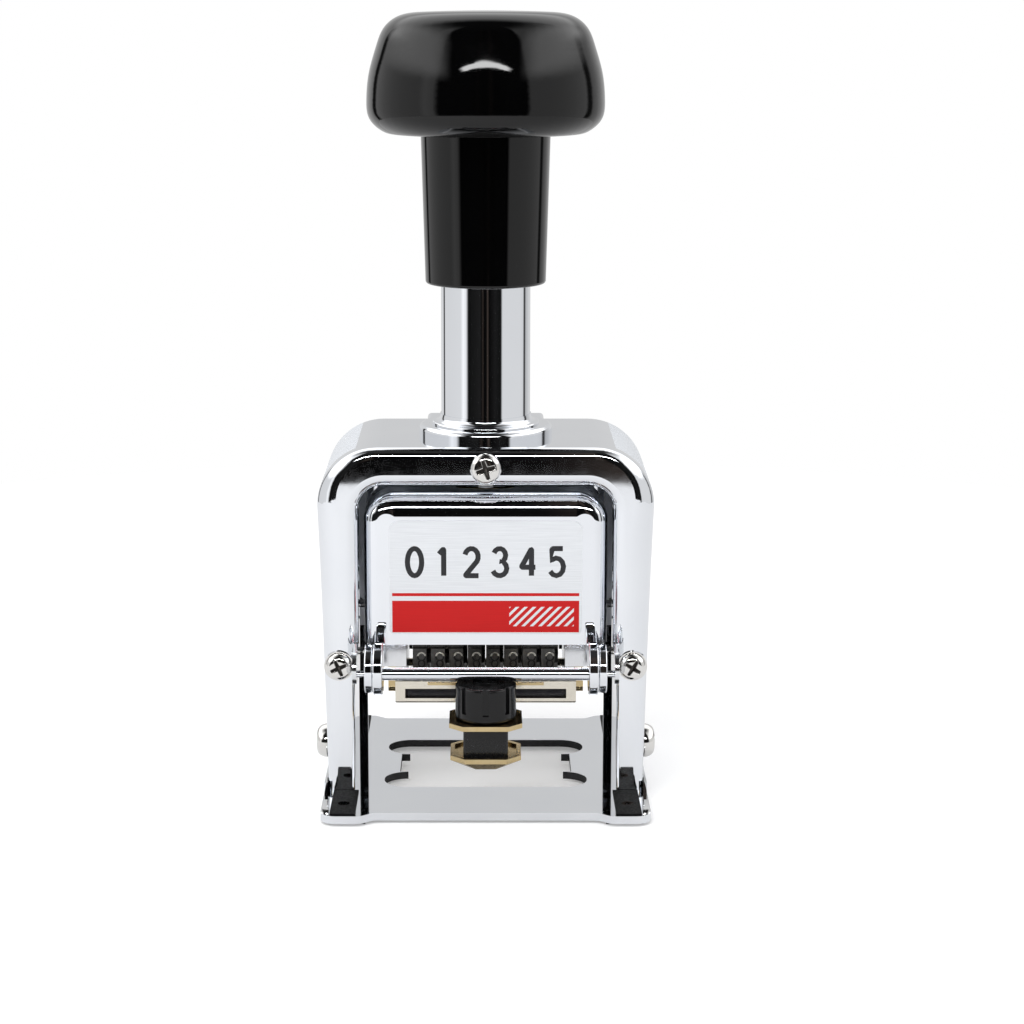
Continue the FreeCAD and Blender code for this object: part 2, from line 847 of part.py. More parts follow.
def carriage_bridge():
    plate = block(-side_plate_out, side_plate_out, side_plate_front_y, bridge_rear_y,
                  bridge_low, bridge_top)
    tongue = block(-tongue_half, tongue_half, bridge_rear_y, bridge_rear_y + tongue_reach,
                   bridge_low, bridge_top)
    post = block(-4, 4, cover_post_y() - 1.4, cover_post_y() + 2.4, bridge_low,
                 cover_top - cover_wall)
    body = join([plate, tongue, post])
    holes = [rod_z(0, bridge_top + 1, 0, 0, rod_thread_r)]
    holes += [rod_z(0, bridge_top + 1, x, y, small_shank_r) for x, y in bridge_screw_places()]
    holes += [rod_z(cover_top - 5, cover_top + 1, 0, cover_post_y(), small_shank_r)]
    holes += [rod_z(bridge_top, cover_top, 0, 0, rod_r + 0.5)]
    return cut(body, holes)


def bridge_screws():
    return [pan_screw(small_screw_r, small_head, small_shank_r, bridge_thick + 1.2,
                      V(0, 0, 1), V(x, y, bridge_top)) for x, y in bridge_screw_places()]


def wheel_axle():
    half = arm_out + 1.2
    return rod_x(-half, half, 0, axle_z, axle_r)


def axle_clips():
    ring = rod_x(arm_out + side_play, arm_out + side_play + 0.6, 0, axle_z, axle_r + 1.3)
    return pair(ring.cut(rod_x(0, 40, 0, axle_z, axle_r)))


def wheel_centre(i):
    return (i - (wheel_count - 1) / 2) * wheel_pitch


def blade_centre(i):
    """Middle of the ratchet strip beside one wheel's rim."""
    return wheel_centre(i) + rim_width - (rim_width + ratchet_width) / 2 + ratchet_width / 2


def number_wheel(i):
    """Rim with ten type faces, and the ratchet that turns it beside the rim."""
    low = wheel_centre(i) - (rim_width + ratchet_width) / 2
    mid = low + rim_width
    rim = rod_x(low, mid, 0, axle_z, wheel_r)
    notches = []
    for k in range(figures):
        notch = block(low - 1, mid + 1, -type_gap / 2, type_gap / 2,
                      axle_z + wheel_r - type_relief, axle_z + wheel_r + 1)
        notch.rotate(V(0, 0, axle_z), V(1, 0, 0), 360.0 * (k + 0.5) / figures)
        notches.append(notch)
    rim = rim.cut(notches[0].multiFuse(notches[1:]))
    teeth = []
    for k in range(figures):
        a = math.radians(360.0 * k / figures)
        b = math.radians(360.0 * (k + 0.06) / figures)
        teeth.append(V(mid, ratchet_r * math.sin(a), axle_z + ratchet_r * math.cos(a)))
        teeth.append(V(mid, ratchet_root_r * math.sin(b), axle_z + ratchet_root_r * math.cos(b)))
    ratchet = Part.Face(Part.makePolygon(teeth + teeth[:1])).extrude(V(ratchet_width, 0, 0))
    wheel = join([rim, ratchet])
    return wheel.cut(rod_x(low - 1, mid + 2, 0, axle_z, axle_r + running))


def detent_rod():
    y, z = around_axle(detent_rod_angle, detent_rod_orbit)
    return rod_x(-side_plate_out, side_plate_out, y, z, detent_rod_r)


def detent_pawls():
    """One thin pawl per wheel, hung on the detent rod and reaching for its ratchet."""
    y, z = around_axle(detent_rod_angle, detent_rod_orbit)
    tip_y, tip_z = around_axle(detent_tip_angle, ratchet_r + tip_play)
    heel_y, heel_z = around_axle(detent_tip_angle + 8, ratchet_r + tip_play + 3.2)
    blades = []
    for i in range(wheel_count):
        x = blade_centre(i)
        ring = rod_x(x - blade_thick / 2, x + blade_thick / 2, y, z, detent_rod_r + 1)
        arm = prism_x([(y - 2.1, z, 0), (y + 0.4, z - 1.6, 0),
                       (tip_y, tip_z, 0), (heel_y, heel_z, 0)],
                      x - blade_thick / 2, x + blade_thick / 2)
        blade = join([ring, arm])
        blades.append(blade.cut(rod_x(x - 1, x + 1, y, z, detent_rod_r)))
    return blades


# Feed pawls

def pawl_frame():
    """Two thin arms on the wheel axle with a bar across the top of the wheels."""
    pin_y, pin_z = around_axle(feed_pin_start, feed_pin_orbit)
    top = axle_z + pawl_bar_orbit
    arm = prism_x([(-1.7, axle_z, 0), (1.7, axle_z, 0), (1.3, top, 0), (-1.3, top, 0)],
                  pawl_arm_in, pawl_arm_out)
    head = rod_x(pawl_arm_in, pawl_arm_out, 0, top, pawl_bar_r + 0.4)
    bar = rod_x(-pawl_arm_in, pawl_arm_in, 0, top, pawl_bar_r)
    hub = rod_x(pawl_arm_in, pawl_arm_out, 0, axle_z, axle_r + 1.6)
    lobe = rod_x(pawl_arm_in, pawl_arm_out, pin_y, pin_z, follower_r + 1)
    web = prism_x([(0, axle_z + 1, 0), (2.2, axle_z, 0), (pin_y + 1.2, pin_z - 0.8, 0),
                   (pin_y - 0.8, pin_z + 1.2, 0)], pawl_arm_in, pawl_arm_out)
    side = join([turned_back(arm), hub, lobe, web, turned_back(head)])
    side = side.cut(rod_x(pawl_arm_in - 1, pawl_arm_out + 1, pin_y, pin_z, follower_r))
    whole = join([turned_back(bar)] + pair(side))
    return whole.cut(rod_x(-40, 40, 0, axle_z, axle_r + running))


def turned_back(shape):
    """A piece drawn straight above the axle, at the place where the pawls rest."""
    rested = shape.copy()
    rested.rotate(V(0, 0, axle_z), V(1, 0, 0), pawl_bar_start - 180)
    return rested


def feed_pins():
    y, z = around_axle(feed_pin_start, feed_pin_orbit)
    return pair(rod_x(pawl_arm_in, cam_out - 0.2, y, z, follower_r))


def feed_pawls():
    """One finger per wheel, hung on the pawl bar and reaching for its ratchet."""
    top = axle_z + pawl_bar_orbit
    tip = axle_z + ratchet_r + tip_play
    fingers = []
    for i in range(wheel_count):
        x = blade_centre(i)
        low = x - blade_thick / 2
        high = x + blade_thick / 2
        ring = rod_x(low, high, 0, top, pawl_bar_r + 0.8)
        hook = prism_x([(-1.5, top, 0), (-0.2, tip, 0), (0.9, tip + 0.5, 0), (1.5, top, 0)],
                       low, high)
        finger = join([ring, hook])
        finger = finger.cut(rod_x(low - 1, high + 1, 0, top, pawl_bar_r))
        fingers.append(turned_back(finger))
    return fingers


# Carriage cover

def cover_outline(inset):
    right = [(cover_half - inset, cover_low, 0)]
    right += [(cover_half - inset, cover_top - inset, cover_corner_r - inset)]
    return both_sides(right)


def cover_shell_body(inset):
    """Cover block whose front edge is rounded, widely along the top."""
    front = cover_front_y + inset
    body = prism_y(cover_outline(inset), front, cover_back_y)
    side_r = cover_side_r - inset * 0.9
    rounds = edge_rounds(body, cover_shoulder_r - inset, side_r, side_r,
                         lambda c: abs(c.y - front) < 0.01 and c.z > cover_low + 0.01)
    return rounded_front(body, rounds)


def face_cover():
    outer = cover_shell_body(0)
    inner = cover_shell_body(cover_wall)
    room = join([inner, block(-cover_half + cover_wall, cover_half - cover_wall,
                              cover_front_y + cover_wall, cover_back_y + 1,
                              cover_low - 1, cover_low + 4)])
    behind = block(-cover_half + cover_wall, cover_half - cover_wall, cover_back_y - 0.2,
                   cover_back_y + 1, cover_low - 1, cover_top - cover_corner_r)
    shell = cut(outer, [room, behind])
    return shell.cut(rod_z(cover_top - 5, cover_top + 1, 0, cover_post_y(), small_shank_r))


def cover_screw():
    return pan_screw(screw_r * 0.8, 1.0, small_shank_r, 4.0, V(0, 0, 1),
                     V(0, cover_post_y(), cover_top))


def label_plate():
    right = [(label_half, label_low, 1.0), (label_half, label_high, 2.0)]
    return prism_y(both_sides(right), cover_front_y - label_thick, cover_front_y)


# Ink tray

def ink_tray():
    tray = block(-tray_half_x, tray_half_x, -tray_half_y, tray_half_y, tray_low,
                 tray_low + tray_floor)
    return fillet_where(tray, 0.45, lambda c, e: abs(c.z - tray_low) < 0.01)


def pad_frame():
    """Retainer over the felt: two rails, two ends and four corner posts."""
    inner_y = tray_half_y - pad_frame_wall
    rim = block(-tray_half_x, tray_half_x, -tray_half_y, tray_half_y, pad_frame_low, tray_top)
    open_x = side_plate_out + 0.35
    rim = rim.cut(block(-open_x, open_x, -inner_y, inner_y, pad_frame_low - 1, tray_top + 1))
    posts = []
    floor_top = tray_low + tray_floor
    for side in (-1, 1):
        for end in (-1, 1):
            x0 = min(side * tray_half_x, side * (tray_half_x - post_width))
            y0 = min(end * tray_half_y, end * inner_y)
            posts.append(block(x0, x0 + post_width, y0, y0 + pad_frame_wall, floor_top,
                               pad_frame_low))
    return join([rim] + posts)


def ink_pad():
    half_x = tray_half_x - post_width
    inner_y = tray_half_y - pad_frame_wall
    felt = block(-half_x, half_x, -inner_y, inner_y, tray_low + tray_floor, pad_frame_low)
    hollow = rod_x(-half_x - 1, half_x + 1, 0, axle_z, wheel_r + 0.2)
    return felt.cut(hollow)


def leaf_springs():
    rail = tray_half_y
    strip = block(leaf_half_in, leaf_half_out, -rail - thin_sheet, -rail, tray_top - 0.7,
                  tray_top - 0.2)
    return pair(strip)


def ink_arm():
    """Arm from the wheel axle down to the tray, with a lobe for the follower pin."""
    pin_y, pin_z = around_axle(follower_start, follower_orbit)
    low = tray_low + 0.5
    leg = prism_x([(-arm_half, low, 1.4), (arm_half, low, 1.4), (arm_hub_r, axle_z, 0),
                   (-arm_hub_r, axle_z, 0)], tray_half_x, arm_out)
    hub = rod_x(tray_half_x, arm_out, 0, axle_z, arm_hub_r)
    lobe = rod_x(tray_half_x, arm_out, pin_y, pin_z, follower_r + 1.1)
    web = prism_x([(0, axle_z, 0), (arm_half - 0.5, pin_z - 4, 0), (pin_y + 0.5, pin_z - 1.8, 0),
                   (pin_y + 1.4, pin_z + 1.2, 0)], tray_half_x, arm_out)
    arm = join([leg, hub, lobe, web])
    holes = [rod_x(tray_half_x - 1, arm_out + 1, 0, axle_z, axle_r + running)]
    holes += [rod_x(tray_half_x - 1, arm_out + 1, pin_y, pin_z, follower_r)]
    return cut(arm, holes)


def follower_pins():
    y, z = around_axle(follower_start, follower_orbit)
    return pair(rod_x(tray_half_x, cam_out - 0.2, y, z, follower_r))


# Cam plates

def cam_path(orbit, start, swing, share):
    """Where a pin stands in the frame after a share of the plunger's stroke."""
    y, z = around_axle(start + swing * share, orbit)
    return y, z - print_drop * share


def cam_slot(orbit, start, swing, x0, x1):
    """Slot that a swinging pin follows as the carriage goes down."""
    half = follower_r + pin_play
    steps = 12
    left = []
    right = []
    for i in range(steps + 1):
        share = i / steps
        y, z = cam_path(orbit, start, swing, share)
        ya, za = cam_path(orbit, start, swing, share - 0.001)
        yb, zb = cam_path(orbit, start, swing, share + 0.001)
        heading = unit(yb - ya, zb - za)
        left.append(V(x0, y - heading[1] * half, z + heading[0] * half))
        right.append(V(x0, y + heading[1] * half, z - heading[0] * half))
        if i == 0:
            tip_start = V(x0, y - heading[0] * half, z - heading[1] * half)
        tip_end = V(x0, y + heading[0] * half, z + heading[1] * half)
    one = Part.BSplineCurve()
    one.interpolate(left)
    two = Part.BSplineCurve()
    two.interpolate(right)
    far = Part.Arc(left[-1], tip_end, right[-1])
    near = Part.Arc(left[0], tip_start, right[0])
    wire = Part.Wire(Part.__sortEdges__([one.toShape(), far.toShape(), two.toShape(),
                                         near.toShape()]))
    return Part.Face(wire).extrude(V(x1 - x0, 0, 0))


def cam_plate():
    """Plate inside each leg, whose slots turn the ink arms and the feed pawls."""
    outline = [(cam_front_y, cam_low, 2.0), (cam_rear_y, cam_low, 2.0),
               (cam_rear_y, cam_high - cam_crest, 2.0), (cam_crest_rear_y, cam_high, 1.5),
               (cam_crest_front_y, cam_high, 1.5), (cam_waist_y, cam_low + cam_waist, 2.0),
               (cam_front_y, cam_low + cam_heel, 2.0)]
    plate = prism_x(outline, cam_in, cam_out)
    reach = leg_outer(side_screw_z)
    boss = rod_x(cam_out, reach, side_screw_y, side_screw_z, cam_stud_r)
    stud = rod_x(cam_out, reach, cam_stud_y, side_screw_z + cam_stud_lift, cam_stud_r)
    plate = join([plate, boss, stud]).common(arch_room())
    ink = cam_slot(follower_orbit, follower_start, swing_angle, cam_in - 1, cam_out + 1)
    feed = cam_slot(feed_pin_orbit, feed_pin_start, pawl_swing, cam_in - 1, cam_out + 1)
    hole = rod_x(cam_in - 1, reach + 1, side_screw_y, side_screw_z, screw_shank_r)
    return cut(plate, [ink, feed, hole])


def side_screws():
    """Round head screws low on the legs, which hold the cam plates."""
    seat = max(leg_outer(side_screw_z - side_head_r), leg_outer(side_screw_z + side_head_r))
    head = Part.makeCylinder(side_head_r, side_head)
    head = fillet_where(head, 0.7, lambda c, e: abs(c.z - side_head) < 0.01 and e.Length > 1)
    shank = Part.makeCylinder(screw_shank_r, seat - cam_in, V(0, 0, cam_in - seat))
    screw = aimed(head.fuse(shank).removeSplitter(), V(1, 0, 0), V(seat, side_screw_y, side_screw_z))
    return pair(screw)


# Front bar, discs and column

def cross_bar():
    body = rod_x(-bar_half, bar_half, bar_y, bar_z, bar_r)
    neck = rod_x(bar_half, bracket_out, bar_y, bar_z, bar_pin_r)
    bar = join([body] + pair(neck))
    return bar.cut(rod_z(bar_z - 3, bar_z + 0.6, 0, bar_y, post_spigot_r))


def bar_disc(x0, thick, r):
    disc = rod_x(x0, x0 + thick, bar_y, disc_z, r)
    disc = fillet_where(disc, 0.3, lambda c, e: e.Length > 8)
    return disc.cut(rod_x(0, 40, bar_y, bar_z, bar_pin_r))


def bracket_rivet_y():
    return (front_y + lip_roll + lip_back_y) / 2


def bar_brackets():
    """Thin plates let into the lip of the housing, which carry the bar's ends."""
    rear = lip_back_y
    arm = block(opening_half, bracket_out, bar_y, rear, disc_z - bracket_r, disc_z + bracket_r)
    nose = rod_x(opening_half, bracket_out, bar_y, disc_z, bracket_r)
    plate = join([arm, nose])
    plate = plate.cut(rod_x(0, 40, bar_y, bar_z, bar_pin_r))
    return pair(plate.cut(rod_x(0, 40, bracket_rivet_y(), disc_z, small_shank_r)))


def bracket_rivets():
    pin = rod_x(opening_half, opening_half + lip_thick + 0.5, bracket_rivet_y(), disc_z,
                small_shank_r)
    return pair(pin)


def octagon(half_x, half_y, flat):
    """Eight-sided outline round the column, as (x, y) corners."""
    cut_y = half_y * flat / half_x
    right = [(flat, bar_y - half_y, 0), (half_x, bar_y - cut_y, 0)]
    right += [(half_x, bar_y + cut_y, 0), (flat, bar_y + half_y, 0)]
    return both_sides(right)


def column_plate():
    plate = prism_z(octagon(plate_half_x, plate_half_y, plate_flat_half), plate_low,
                    plate_low + plate_thick)
    return plate.cut(rod_z(0, 40, 0, bar_y, post_core_r))


def column_post():
    """Square neck, round core inside the thumb nut, and a spigot into the bar."""
    square = block(-post_half, post_half, bar_y - post_half, bar_y + post_half, dish_high - 1,
                   plate_low)
    square = fillet_where(square, 0.6, lambda c, e: abs(c.z - (dish_high - 1 + plate_low) / 2) < 0.1)
    core = rod_z(plate_low, bar_z - bar_r, 0, bar_y, post_core_r)
    rest = rod_x(-bar_half, bar_half, bar_y, bar_z, bar_r)
    spigot = rod_z(bar_z - bar_r - 1, bar_z + 0.6, 0, bar_y, post_spigot_r)
    return join([join([square, core]).cut(rest), spigot])


def thumb_nut():
    """Black grip nut with an eight-notched skirt, free to turn on the post."""
    body = rod_z(nut_low, nut_high, 0, bar_y, nut_r)
    body = fillet_where(body, 0.5, lambda c, e: e.Length > 8)
    notches = []
    for k in range(nut_notches):
        notch = block(-0.55, 0.55, bar_y - nut_r - 1, bar_y - nut_r + 0.5, nut_low + 1.6,
                      nut_high + 1)
        notch.rotate(V(0, bar_y, 0), V(0, 0, 1), 360.0 * k / nut_notches)
        notches.append(notch)
    body = body.cut(notches[0].multiFuse(notches[1:]))
    return body.cut(rod_z(0, 40, 0, bar_y, post_core_r + running))


def column_dish():
    """Brass foot: an eight-sided dish that narrows to a small base."""
    place_top = octagon(plate_half_x - 0.2, plate_half_y - 0.2, plate_flat_half - 0.4)
    narrow = dish_foot_half
    place_low = octagon(narrow, narrow, narrow * 0.6)
    top = rounded_face(place_top, lambda u, v: V(u, v, dish_high - 0.9)).OuterWire
    low = rounded_face(place_low, lambda u, v: V(u, v, dish_low)).OuterWire
    cone = Part.makeLoft([low, top], True, True)
    rim = prism_z(place_top, dish_high - 0.9, dish_high)
    body = join([cone, rim])
    pocket = prism_z(octagon(plate_half_x - 1, plate_half_y - 1, plate_flat_half - 0.8),
                     dish_high - 0.5, dish_high + 1)
    seat = block(-post_half, post_half, bar_y - post_half, bar_y + post_half, dish_high - 1,
                 dish_high + 1)
    return cut(body, [pocket, seat])


# Fasteners on the front

def housing_screws():
    top = pan_screw(screw_r, screw_head, screw_shank_r, wall + 1, V(0, -1, 0),
                    V(0, front_y, top_screw_z))
    return [top]


def leg_screws():
    return [pan_screw(leg_screw_r, screw_head, screw_shank_r, wall + 1, V(0, -1, 0),
                      V(side * leg_screw_x(), front_y - washer_thick, leg_screw_z))
            for side in (-1, 1)]


def leg_washers():
    rings = []
    for side in (-1, 1):
        x = side * leg_screw_x()
        ring = rod_y(front_y - washer_thick, front_y, x, leg_screw_z, leg_screw_r + washer_rim)
        hole = rod_y(front_y - 1, front_y + 1, x, leg_screw_z, screw_shank_r)
        rings.append(ring.cut(hole))
    return rings


# Every sub-part by its name

parts = {
    "base_plate": base_plate(),
    "corner_pads": corner_pads(),
    "corner_eyelets": eyelets(),
    "rubber_feet": rubber_feet(),
    "frame_housing": frame_housing(),
    "rear_cover": rear_cover(),
    "rear_screws": rear_screws(),
    "guide_channel": guide_channel(),
    "column_flange": column_flange(),
    "stem_tube": stem_tube(),
    "rod_bush": rod_bush(),
    "plunger_rod": plunger_rod(),
    "lock_nut": lock_nut(),
    "spring_collar": spring_collar(),
    "return_spring": return_spring(),
    "grip_sleeve": grip_sleeve(),
    "knob": knob(),
    "carriage_side_left": mirrored(side_plate()),
    "carriage_side_right": side_plate(),
    "carriage_bridge": carriage_bridge(),
    "bridge_screws": bridge_screws(),
    "wheel_axle": wheel_axle(),
    "axle_clips": axle_clips(),
    "detent_rod": detent_rod(),
    "detent_pawls": detent_pawls(),
    "pawl_frame": pawl_frame(),
    "feed_pins": feed_pins(),
    "feed_pawls": feed_pawls(),
    "face_cover": face_cover(),
    "cover_screw": cover_screw(),
    "label_plate": label_plate(),
    "ink_tray": ink_tray(),
    "pad_frame": pad_frame(),
    "ink_pad": ink_pad(),
    "leaf_springs": leaf_springs(),
    "ink_arms": pair(ink_arm()),
    "follower_pins": follower_pins(),
    "cam_plates": pair(cam_plate()),
    "side_screws": side_screws(),
    "cross_bar": cross_bar(),
    "inner_discs": pair(bar_disc(disc_in, inner_disc_thick, inner_disc_r)),
    "outer_discs": pair(bar_disc(disc_mid, outer_disc_thick, outer_disc_r)),
    "bar_brackets": bar_brackets(),
    "bracket_rivets": bracket_rivets(),
    "column_plate": column_plate(),
    "column_post": column_post(),
    "thumb_nut": thumb_nut(),
    "column_dish": column_dish(),
    "housing_screw": housing_screws(),
    "leg_screws": leg_screws(),
    "leg_washers": leg_washers(),
}
for wheel in range(wheel_count):
    parts["number_wheel_%d" % (wheel + 1)] = number_wheel(wheel)

os.makedirs("parts", exist_ok=True)
for name, piece in parts.items():
    solids = piece if isinstance(piece, list) else [piece]
    shape = solids[0] if len(solids) == 1 else Part.makeCompound(solids)
    shape.exportStep("parts/%s.step" % name)
print("sub-parts", len(parts))
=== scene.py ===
import math

import bmesh
import bpy
from mathutils import Matrix, Vector, noise


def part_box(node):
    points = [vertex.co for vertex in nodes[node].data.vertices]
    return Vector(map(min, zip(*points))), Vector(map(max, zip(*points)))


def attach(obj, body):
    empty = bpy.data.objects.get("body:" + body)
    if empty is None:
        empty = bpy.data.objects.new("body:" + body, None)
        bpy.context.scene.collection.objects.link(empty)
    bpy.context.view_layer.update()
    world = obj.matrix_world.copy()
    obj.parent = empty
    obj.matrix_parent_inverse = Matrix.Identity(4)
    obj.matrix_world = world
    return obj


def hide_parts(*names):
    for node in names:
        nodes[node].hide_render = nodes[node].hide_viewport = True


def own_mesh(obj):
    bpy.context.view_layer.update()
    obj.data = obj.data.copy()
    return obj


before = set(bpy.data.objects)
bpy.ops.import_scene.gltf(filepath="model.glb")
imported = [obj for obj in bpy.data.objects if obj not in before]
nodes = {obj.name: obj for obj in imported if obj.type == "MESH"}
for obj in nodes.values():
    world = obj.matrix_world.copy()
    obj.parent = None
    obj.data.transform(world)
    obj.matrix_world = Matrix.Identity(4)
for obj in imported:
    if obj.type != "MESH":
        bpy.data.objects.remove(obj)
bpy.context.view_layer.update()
scene = bpy.context.scene

# sizes that the added pieces share with the solids, in metres
AXLE_Z = 0.0292
WHEEL_R = 0.0105
WHEEL_PITCH = 0.00355
WHEEL_COUNT = 8
FACE_STEP = math.radians(36)

# camera, at the place that the photograph was taken from
CAMERA_AT = (0, -0.441, 0.1464)
CAMERA_TILT = 10.66
camera_data = bpy.data.cameras.new("camera")
camera_data.sensor_width = 36
camera_data.lens = 80.9
camera_data.shift_x = 0.0257
camera_data.shift_y = -0.05
camera_data.clip_end = 50
camera = bpy.data.objects.new("camera", camera_data)
camera.location = CAMERA_AT
camera.rotation_euler = (math.radians(90 - CAMERA_TILT), 0, 0)
scene.collection.objects.link(camera)
scene.camera = camera
scene.view_settings.view_transform = "Standard"


# node helpers
def add_node(tree, kind, values=None, links=None, **settings):
    """A shader node with its settings, its unlinked values and the sockets that feed it."""
    made = tree.nodes.new(kind)
    for name, value in settings.items():
        setattr(made, name, value)
    for name, value in (values or {}).items():
        made.inputs[name].default_value = value
    for name, socket in (links or {}).items():
        tree.links.new(socket, made.inputs[name])
    return made


def do_math(tree, operation, a, b=0.0, clamp=False):
    """One math node. A number is set on its socket, and a socket is linked."""
    made = tree.nodes.new("ShaderNodeMath")
    made.operation = operation
    made.use_clamp = clamp
    for place, value in ((0, a), (1, b)):
        if isinstance(value, (int, float)):
            made.inputs[place].default_value = value
        else:
            tree.links.new(value, made.inputs[place])
    return made.outputs[0]


def within(tree, value, low, high):
    """1 between two places, else 0."""
    return do_math(tree, "MULTIPLY", do_math(tree, "GREATER_THAN", value, low),
                   do_math(tree, "LESS_THAN", value, high))


def ramp(tree, factor, stops):
    """A colour ramp with stops of (place, colour)."""
    made = tree.nodes.new("ShaderNodeValToRGB")
    made.color_ramp.interpolation = "LINEAR"
    elements = made.color_ramp.elements
    while len(elements) > 1:
        elements.remove(elements[-1])
    elements[0].position = stops[0][0]
    elements[0].color = (*stops[0][1], 1)
    for place, colour in stops[1:]:
        element = elements.new(place)
        element.color = (*colour, 1)
    tree.links.new(factor, made.inputs[0])
    return made.outputs[0]


def mix_colour(tree, factor, a, b, blend="MIX"):
    """Two colours mixed. Each is a socket or three numbers."""
    made = tree.nodes.new("ShaderNodeMix")
    made.data_type = "RGBA"
    made.blend_type = blend
    for place, value in ((0, factor), (6, a), (7, b)):
        if isinstance(value, (int, float)):
            made.inputs[place].default_value = value
        elif isinstance(value, tuple):
            made.inputs[place].default_value = (*value, 1)
        else:
            tree.links.new(value, made.inputs[place])
    return made.outputs[2]


def map_range(tree, value, low, high, to_low, to_high, smooth=False):
    """A value carried from one range to another, held at its ends."""
    made = tree.nodes.new("ShaderNodeMapRange")
    made.interpolation_type = "SMOOTHSTEP" if smooth else "LINEAR"
    tree.links.new(value, made.inputs["Value"])
    for name, number in (("From Min", low), ("From Max", high), ("To Min", to_low), ("To Max", to_high)):
        made.inputs[name].default_value = number
    return made.outputs["Result"]


def step_up(tree, value, low, high):
    """0 below low, 1 above high, and smooth between."""
    return map_range(tree, value, low, high, 0.0, 1.0, True)


def step_down(tree, value, low, high):
    """1 below low, 0 above high, and smooth between."""
    return map_range(tree, value, low, high, 1.0, 0.0, True)


def noise_spots(tree, place, scale, detail, **more):
    """Noise over a piece, in spots of one size. more sets other sockets by name."""
    values = {"Scale": scale, "Detail": detail, **more}
    return add_node(tree, "ShaderNodeTexNoise", values, {"Vector": place}).outputs[0]


def grey(value, warm=0.0):
    """A grey, or a warm one."""
    return (value * (1 + warm), value, value * (1 - warm * 0.5))


# studio: white all round, with the dark gaps between the soft boxes that polished metal shows
world = bpy.data.worlds.new("studio")
scene.world = world
world.use_nodes = True
tree = world.node_tree
tree.nodes.clear()
direction = add_node(tree, "ShaderNodeTexCoord").outputs["Generated"]
parts = add_node(tree, "ShaderNodeSeparateXYZ", links={"Vector": direction})
height = parts.outputs["Z"]
depth = parts.outputs["Y"]
turn = do_math(tree, "ARCTAN2", parts.outputs["X"], do_math(tree, "MULTIPLY", depth, -1.0))
around = do_math(tree, "ADD", do_math(tree, "DIVIDE", turn, 2 * math.pi), 0.5)

# the grey seen level, by degrees round from the front. The right side is positive
RING = [
    (-180, grey(0.66)), (-150, grey(0.78)), (-141, grey(0.72)), (-138, grey(0.03)), (-133, grey(0.03)),
    (-129, grey(0.78)), (-90, grey(0.80)), (-68, grey(0.82)), (-60, grey(1.15)), (-52, grey(0.95)),
    (-46, grey(0.006)), (-14, grey(0.014)), (-11, grey(0.004)), (-7, grey(0.022, 0.3)), (-4, grey(0.002)),
    (2, grey(0.004)), (5, grey(0.05, 0.3)), (8, grey(0.002)), (24, grey(0.012)), (40, grey(0.006)),
    (44, grey(0.80)), (100, grey(0.80)), (113, grey(0.74)), (117, grey(0.05)), (122, grey(0.05)),
    (127, grey(0.55)), (150, grey(0.74)), (180, grey(0.66)),
]
DARK_ROOF = grey(0.03)
BACK_GLOW = grey(1.5)
SIDE_BOX = grey(2.4)
STRIP_LIGHT = grey(20.0)
STRIP_AHEAD = 1.735
STRIP_BEND = 0.22
TABLE = grey(0.74)
ring = ramp(tree, around, [((degrees + 180) / 360, colour) for degrees, colour in RING])
seen = mix_colour(tree, step_up(tree, height, 0.80, 0.97), ring, DARK_ROOF)
glow = do_math(tree, "MULTIPLY", step_up(tree, height, 0.38, 0.52), step_up(tree, depth, 0.10, 0.45))
seen = mix_colour(tree, glow, seen, BACK_GLOW)
# a soft box high on each side
wide = do_math(tree, "ABSOLUTE", parts.outputs["X"])
side = do_math(tree, "MULTIPLY", step_up(tree, wide, 0.50, 0.80), step_up(tree, height, 0.22, 0.45))
seen = mix_colour(tree, side, seen, SIDE_BOX)
# a strip light overhead, in front of the machine, bent at its ends
lifted = do_math(tree, "MAXIMUM", height, 0.05)
strip_x = do_math(tree, "ABSOLUTE", do_math(tree, "DIVIDE", parts.outputs["X"], lifted))
strip_y = do_math(tree, "ADD", do_math(tree, "DIVIDE", depth, lifted), STRIP_AHEAD)
bend = do_math(tree, "MULTIPLY", do_math(tree, "MULTIPLY", strip_x, strip_x), STRIP_BEND)
arc = do_math(tree, "ABSOLUTE", do_math(tree, "ADD", strip_y, bend))
strip = do_math(tree, "MULTIPLY", step_down(tree, strip_x, 0.72, 1.02), step_down(tree, arc, 0.09, 0.17))
seen = mix_colour(tree, strip, seen, STRIP_LIGHT)
seen = mix_colour(tree, step_down(tree, height, -0.46, -0.30), seen, TABLE)
path = add_node(tree, "ShaderNodeLightPath")
colour = mix_colour(tree, path.outputs["Is Glossy Ray"], (1.0, 1.0, 1.0), seen)
background = add_node(tree, "ShaderNodeBackground", {"Strength": 1.0}, {"Color": colour})
add_node(tree, "ShaderNodeOutputWorld", links={"Surface": background.outputs[0]})

KEY_AT = (-0.22, -0.30, 0.52)
KEY_AIM = (0, 0, 0.04)
key_data = bpy.data.lights.new("key", "AREA")
key_data.shape = "SQUARE"
key_data.size = 0.35
key_data.energy = 1.3
key = bpy.data.objects.new("key", key_data)
key.location = KEY_AT
key.rotation_mode = "QUATERNION"
key.rotation_quaternion = (Vector(KEY_AIM) - Vector(key.location)).to_track_quat("-Z", "Y")
key.visible_glossy = False
scene.collection.objects.link(key)


def new_object(name, mesh, body=None, material=None):
    """A mesh as a piece of the scene that rides on a body."""
    made = bpy.data.objects.new(name, mesh)
    scene.collection.objects.link(made)
    if material:
        mesh.materials.append(material)
    if body:
        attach(made, body)
    return made


def new_material(name):
    """An empty material, with its node tree."""
    material = bpy.data.materials.new(name)
    material.use_nodes = True
    material.node_tree.nodes.clear()
    return material, material.node_tree


